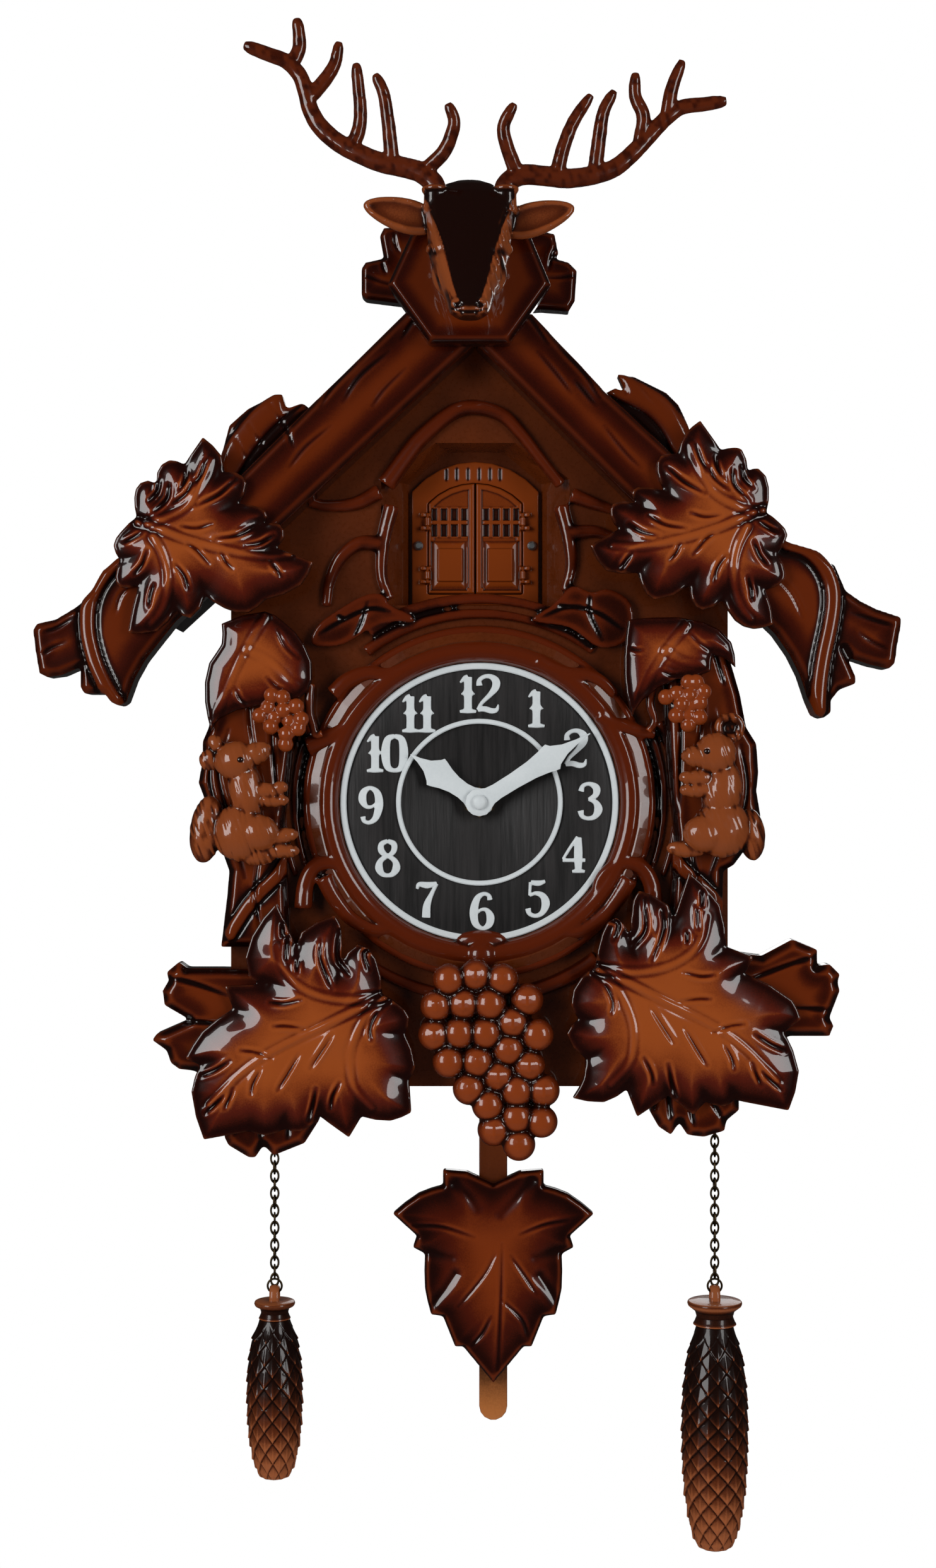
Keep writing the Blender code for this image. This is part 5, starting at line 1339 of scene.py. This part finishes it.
grapeSpots = [(-15, -281), (-2, -279), (11, -281), (-21, -294), (-8, -293), (5, -293), (23, -291),
              (-22, -308),
              (-10, -307), (3, -307), (16, -302), (28, -308), (-15, -321), (-1, -321), (14, -315), (24, -323),
              (-5, -334), (9, -328), (18, -335), (31, -335), (4, -342), (18, -348), (30, -350), (7, -354),
              (19, -361)]
vineGrapes = {
    "Left": ([(-100.6, -143.7), (-95.3, -144.6), (-102.4, -149.5), (-94.8, -150.8), (-88.6, -149),
              (-99.3, -154.4), (-92, -156.2), (-86.3, -155.3), (-106.4, -153.5), (-101, -158.9),
              (-87.7, -159.7), (-93.5, -162.4), (-93.9, -167.3)],
             [(-82.3, -138), (-82.8, -150.8), (-81, -158), (-79.6, -162.4), (-76.5, -162)]),
    "Right": ([(101, -137.4), (104.7, -137.4), (90, -144.6), (95.3, -142.8), (101.6, -143.7),
               (108.3, -141.9), (97.6, -148), (102, -148.6), (106.5, -147.2), (94.9, -153.5),
               (101, -153.5), (106.5, -154.4), (101, -158)],
              [(84, -138), (83, -148), (85, -156), (82, -161)])}
grapeLook = {"radius": 8.0, "small": 3.9, "out": 15.9, "bunchMelt": 0.65, "berryMelt": 0.55, "berryY": -77.5,
             "bedY": -73.5, "tendril": (2.6, 1.8)}


def makeGrapes(look):
    centre = panelY - look["out"]
    parts = [copyNode("grapeCore", "grape_bunch")]
    for x, z in grapeSpots:
        side = look["radius"] * (0.98 + 0.04 * seed.rand())
        parts.append(ballPiece("grape", (x, centre + 1.6 * seed.rand(), z), (side, side * 0.85, side)))
    whole = joinPieces("grapeBunch", parts)
    meltTogether(whole, look["bunchMelt"], 1)
    points = readPoints(whole)
    # painted shade: darker between the grapes, lighter over each grape's middle
    near = np.min([np.hypot(points[:, 0] - x, points[:, 2] - z) for x, z in grapeSpots], axis=0)
    storeValue(whole, "rim", np.clip(1.2 - near / 7.8, 0, 1))
    storeHollow(whole, 12)
    finishPiece(whole, "case", finishes["grape"], "grape_bunch")
    for side, (spots, tendril) in vineGrapes.items():
        size = (look["small"],) * 3
        parts = [ballPiece("berry", (x, look["berryY"] - 2.5 * seed.rand(), z), size, 0, 18, 12)
                 for x, z in spots]
        parts.append(smoothTube("tendril", tendril, *look["tendril"], look["bedY"]))
        mid = np.mean(spots, axis=0)
        parts.append(ballPiece("bed", (mid[0], look["bedY"], mid[1]), (9, 3, 11)))
        small = joinPieces(f"berries{side}", parts)
        meltTogether(small, look["berryMelt"], 1)
        points = readPoints(small)
        # painted shade: darker towards the bed and the gaps, lighter the further a point stands forward
        storeValue(small, "rim", np.clip((-73 - points[:, 1]) / 9, 0, 1))
        storeHollow(small, 10)
        finishPiece(small, "case", finishes["grape"], slot="carving_brown")


makeGrapes(grapeLook)
print("grapes hung")


# Squirrels: (x, z, height off the trunk, half sizes across, out and up, tilt)

squirrelLumps = {
    "left": [
        (-115.5, -210, 7, (12.6, 9.5, 13.4), 0), (-112.6, -190, 7.5, (8.0, 7.5, 15), -6),
        (-117.6, -175.4, 8.5, (9.6, 8, 8.8), -10), (-108, -172, 9, (7.2, 5, 4.8), -22),
        (-103.4, -169.6, 9, (2.4, 2.8, 2.3), 0), (-127, -167.4, 6.5, (3, 3.2, 4.4), -40),
        (-130.4, -175, 6, (4.6, 3.4, 4.6), 0), (-132, -208.5, 5.2, (7.4, 6.2, 15.8), 8),
        (-103.5, -189.6, 9.5, (8.5, 3.4, 3.1), 8), (-96, -188.2, 10, (3.4, 2.7, 2.4), 0),
        (-101, -194.6, 9, (6.5, 3.2, 2.6), 4), (-95.6, -194.4, 9.5, (3.2, 2.6, 2.2), 0),
        (-106.5, -210, 10.5, (9.5, 7, 8), 0), (-96, -211.5, 9, (8.5, 3.8, 3.2), -6),
        (-96, -218.6, 8, (9, 3.8, 3.2), 2), (-107, -221, 7, (8, 5, 4.4), 0)],
    "right": [
        (117, -208, 7, (13, 9.5, 13.5), 0), (117, -190, 7.5, (8.8, 7.5, 15), 8),
        (113.5, -172, 8.5, (9.6, 8, 9.4), 12), (104, -173.4, 9, (6.2, 5, 4.6), 6),
        (100, -173.4, 9, (2.4, 2.8, 2.2), 0), (105, -183.6, 9.5, (7.6, 3.4, 3.1), -4),
        (99.4, -183.4, 10, (3, 2.7, 2.4), 0), (105, -189.6, 9.5, (7, 3.2, 2.8), -4),
        (99.6, -189.4, 9.5, (2.8, 2.6, 2.2), 0), (108, -210.5, 10.5, (9.6, 7, 8.2), 0),
        (99.5, -218, 8, (9, 3.8, 3.4), 4), (131.4, -211, 4.6, (6, 5.8, 12), -6)]}
squirrelEyes = {"left": (-114.6, -175), "right": (108.9, -171)}
squirrelLook = {"plump": 0.7, "voxel": 0.55, "calm": 11, "furHigh": 0.4, "furTone": 0.3,
                "earAt": (120.8, -159.5), "earHalf": 5.2, "earRim": 2.3}


def makeSquirrel(side, look):
    back = nodeBox(f"squirrel_{side}")[1].y
    parts = [ballPiece("lump", (x, back - out, z), [r + look["plump"] for r in radii], tilt)
             for x, z, out, radii, tilt in squirrelLumps[side]]
    if side == "right":
        x, z = look["earAt"]
        parts.append(addTorus(look["earHalf"], look["earRim"], (36, 14), (math.radians(90), 0, 0),
                              (x, back - 6, z)))
        parts.append(ballPiece("earBack", (x, back - 4, z), (5, 2.4, 5)))
    whole = joinPieces(f"squirrel{side.title()}", parts)
    meltTogether(whole, look["voxel"], look["calm"])
    points, normals = readPoints(whole), readNormals(whole)
    u = points[:, 0] * 0.85 + points[:, 2] * 0.3
    v = points[:, 2] * 0.2 - points[:, 0] * 0.1
    fur = softNoise(u + 20, v + 12) - 0.5
    points += normals * (look["furHigh"] * fur)[:, None]
    points[:, 1] = np.minimum(points[:, 1], back)
    writePoints(whole, points)
    # painted shade: darker towards the trunk and lighter the further forward, plus the fur's streaks
    tone = (back - 1 - points[:, 1]) / 15 + look["furTone"] * fur
    storeValue(whole, "rim", np.clip(tone, 0, 1))
    storeHollow(whole, 8)
    finishPiece(whole, "case", finishes["fur"], f"squirrel_{side}")
    x, z = squirrelEyes[side]
    surface = points[np.hypot(points[:, 0] - x, points[:, 2] - z) < 1.2][:, 1].min()
    eye = ballPiece(f"squirrelEye{side.title()}", (x, surface + 0.7, z), (1.7, 1.5, 1.5), 0, 20, 12)
    finishPiece(eye, "case", bpy.data.materials["eyeDark"], slot="carving_brown")


for side in ("left", "right"):
    makeSquirrel(side, squirrelLook)
print("squirrels seated")


# Cone weights, caps and chains

coneLook = {"scalesRound": 10, "scaleTall": 11.0, "lift": 1.35, "around": 200, "steps": 260}


def makeCone(side, look):
    low, high = nodeBox(f"cone_{side}")
    top, foot, widest = high.z, low.z, (high.x - low.x) / 2 - 0.5
    cx, cy = (low.x + high.x) / 2, (low.y + high.y) / 2
    tall = top - foot
    around, steps = look["around"], look["steps"]
    shares = np.linspace(0, 1, steps)
    swell = np.interp(shares, [0, .05, .14, .3, .45, .6, .75, .88, .96, .99, 1],
                      [.60, .68, .84, .97, 1, .985, .92, .78, .62, .5, .34])
    angles = np.linspace(0, 2 * np.pi, around, endpoint=False)
    shareGrid, angleGrid = np.meshgrid(shares, angles, indexing="ij")
    rows = tall / look["scaleTall"]
    u = look["scalesRound"] * angleGrid / (2 * np.pi) + rows * shareGrid
    v = look["scalesRound"] * angleGrid / (2 * np.pi) - rows * shareGrid
    fu, fv = u - np.floor(u), v - np.floor(v)
    tip = (fu + 1 - fv) / 2
    edge = np.minimum(1 - fu, fv)
    lift = look["lift"] * tip ** 1.3 * ease(edge / 0.11)
    lift += 0.35 * hump(fu + fv - 1, 0.12) * tip * ease(edge / 0.15)
    fade = ease(shareGrid / 0.13) * ease((1 - shareGrid) / 0.02)
    radius = widest * swell[:, None] - look["lift"] + fade * lift + 0.4
    x = cx + radius * np.cos(angleGrid)
    y = cy + radius * np.sin(angleGrid)
    z = top - tall * shareGrid
    points = np.stack([x, y, z], axis=2).reshape(-1, 3)
    faces = [(i * around + j, (i + 1) * around + j, (i + 1) * around + (j + 1) % around,
              i * around + (j + 1) % around) for i in range(steps - 1) for j in range(around)]
    faces += [tuple(range(around)), tuple(range(steps * around - 1, (steps - 1) * around - 1, -1))]
    cone = newObject(f"cone{side.title()}", bpy.data.meshes.new("cone"))
    cone.data.from_pydata([tuple(p * mm) for p in points], [], faces)
    faceOutward(cone)
    # darker towards the top; painted shade at each scale's base and edges, lighter on its lifted tip
    storeValue(cone, "rim", (np.clip(0.02 + 0.98 * shareGrid ** 1.3, 0, 1) * (0.55 + 0.45 * fade * tip)
                             * (0.6 + 0.4 * ease(edge / 0.2))).ravel())
    storeHollow(cone, 6, 0.7)
    finishPiece(cone, f"weight_{side}", finishes["cone"], f"cone_{side}")


capLook = {"deckZ": -448.9, "loopZ": -448.6, "loopHigh": 6.3, "loopDeep": 4.0, "strapHalf": 0.95,
           "strapWide": 2.6}


def makeCap(side, look):
    node = f"cone_cap_{side}"
    low, high = nodeBox(node)
    cx, cy = (low.x + high.x) / 2, (low.y + high.y) / 2
    foot, half = low.z, (high.x - low.x) / 2
    deck = look["deckZ"]
    tall = deck - foot
    profile = [(0, tall), (half * 0.62, tall), (half * 0.97, tall - 0.6), (half, tall - 1.8),
               (half * 0.96, tall - 3), (half * 0.72, tall * 0.55), (half * 0.66, tall * 0.32),
               (half * 0.74, tall * 0.1), (half * 0.8, 0), (0, 0)]
    cap = turnedPiece("cap", profile, (cx, cy, foot), 64)
    useModifier(cap, "BEVEL", width=0.5 * mm, segments=2, limit_method="ANGLE",
                angle_limit=math.radians(35))
    loop = [(cx, cy + look["loopDeep"] * math.cos(a), look["loopZ"] + look["loopHigh"] * math.sin(a))
            for a in np.linspace(-0.3, math.pi + 0.3, 20)]
    strap = tubePiece("strap", loop, [look["strapHalf"]] * len(loop))
    points = readPoints(strap)
    points[:, 0] = cx + (points[:, 0] - cx) * look["strapWide"]
    writePoints(strap, points)
    whole = joinPieces(f"cap{side.title()}", [cap, strap])
    points = readPoints(whole)
    storeValue(whole, "rim", np.clip(0.35 + (points[:, 2] - deck) / 6, 0.3, 1))
    storeHollow(whole, 3)
    finishPiece(whole, f"weight_{side}", finishes["cone"], node, angle=40)


chainLook = {"pitch": 4.45, "linkHalf": 1.95, "wireHalf": 0.52, "stretch": 1.55, "ringHalf": 3.6,
             "ringWire": 0.55}


def makeChain(side, look):
    node = f"chain_{side}"
    low, high = nodeBox(node)
    cx, cy = (low.x + high.x) / 2, (low.y + high.y) / 2
    count = int(round((high.z - low.z - 5) / look["pitch"]))
    parts = []
    for i in range(count + 1):
        z = high.z - 3.0 - i * (high.z - low.z - 7.5) / count
        link = addTorus(look["linkHalf"], look["wireHalf"], (20, 8))
        link.scale = (1.0, look["stretch"], 1)
        settlePlace(link)
        turn = (90 if i % 2 else 0) + 9 * math.sin(i * 1.3)
        link.rotation_euler = (math.radians(90), 0, math.radians(turn))
        link.location = (cx * mm, cy * mm, z * mm)
        settlePlace(link)
        parts.append(link)
    parts.append(addTorus(look["ringHalf"], look["ringWire"], (32, 8), (math.radians(90), 0, 0),
                          (cx, cy, low.z + 1.4)))
    chain = joinPieces(f"chain{side.title()}", parts)
    finishPiece(chain, node, finishes["bronze"], node)


def metalFinish(name, colour, dark, rough=0.35):
    made = Finish(name)
    cloud = made.noise(220, 3)
    fine = made.noise(2400, 2)
    return made.feed(colour=made.mix(cloud, hexColour(dark), hexColour(colour)), metal=1.0,
                     rough=(fine * 0.2 + rough), normal=made.bump(fine, 0.15))


finishes["cone"] = lacquer("coneBrown", "a05a34", "5c2a13", "180703", 0.05, 0.85, rough=0.3, coat=0.45,
                           hollowShade=1.2)
finishes["bronze"] = metalFinish("chainBronze", "5a4a34", "1e1812", 0.34)
for side in ("left", "right"):
    makeCone(side, coneLook)
    makeCap(side, capLook)
    makeChain(side, chainLook)
print("weights hung")


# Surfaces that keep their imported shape

def moulded(name, colour, dark, rough, grain, bumpiness, coat=0.0):
    made = Finish(name)
    cloud = made.noise(45, 3)
    fine = made.noise(grain, 3)
    body = made.mix((cloud * 0.65 + fine * 0.35), hexColour(dark), hexColour(colour))
    return made.feed(colour=body, rough=(fine * 0.18 + rough), specular=0.3, coat=coat, coatRough=0.05,
                     normal=made.bump(fine, bumpiness))


plainFinishes = {
    "case_front": moulded("shellFront", "6c2e0b", "391404", 0.2, 500, 0.06, 0.6),
    "roof_panel_left": moulded("roofPlastic", "2b2220", "171110", 0.6, 900, 0.5),
    "case_back": moulded("backPlastic", "242322", "141313", 0.45, 1100, 0.4),
    "screw_steel": metalFinish("screwSteel", "b9bdc0", "84888b", 0.28),
    "nut_brass": metalFinish("nutBrass", "c9a25a", "8f6b2e", 0.25),
    "back_black": moulded("blackPlastic", "272625", "151414", 0.4, 1300, 0.35),
    "cell_wrap": moulded("cellWrap", "3c4a58", "28333f", 0.3, 700, 0.1, 0.4),
    "board_green": moulded("boardGreen", "2c5a34", "173a1e", 0.35, 1500, 0.2, 0.3),
    "speaker_black": moulded("speakerPaper", "2a2927", "121110", 0.7, 1600, 0.6),
    "bird_cream": moulded("birdCream", "d9bf92", "b08a5c", 0.4, 600, 0.3)}
plainFinishes["roof_panel_right"] = plainFinishes["roof_panel_left"]
for entry in frame["record"]["subparts"]:
    node = frame["nodes"][entry["node"]]
    finish = plainFinishes.get(entry["node"]) or plainFinishes.get(entry["material_slot"])
    if finish is None or node.hide_render:
        continue
    for place in node.material_slots:
        place.material = finish
print("plain parts finished")

bpy.context.view_layer.update()
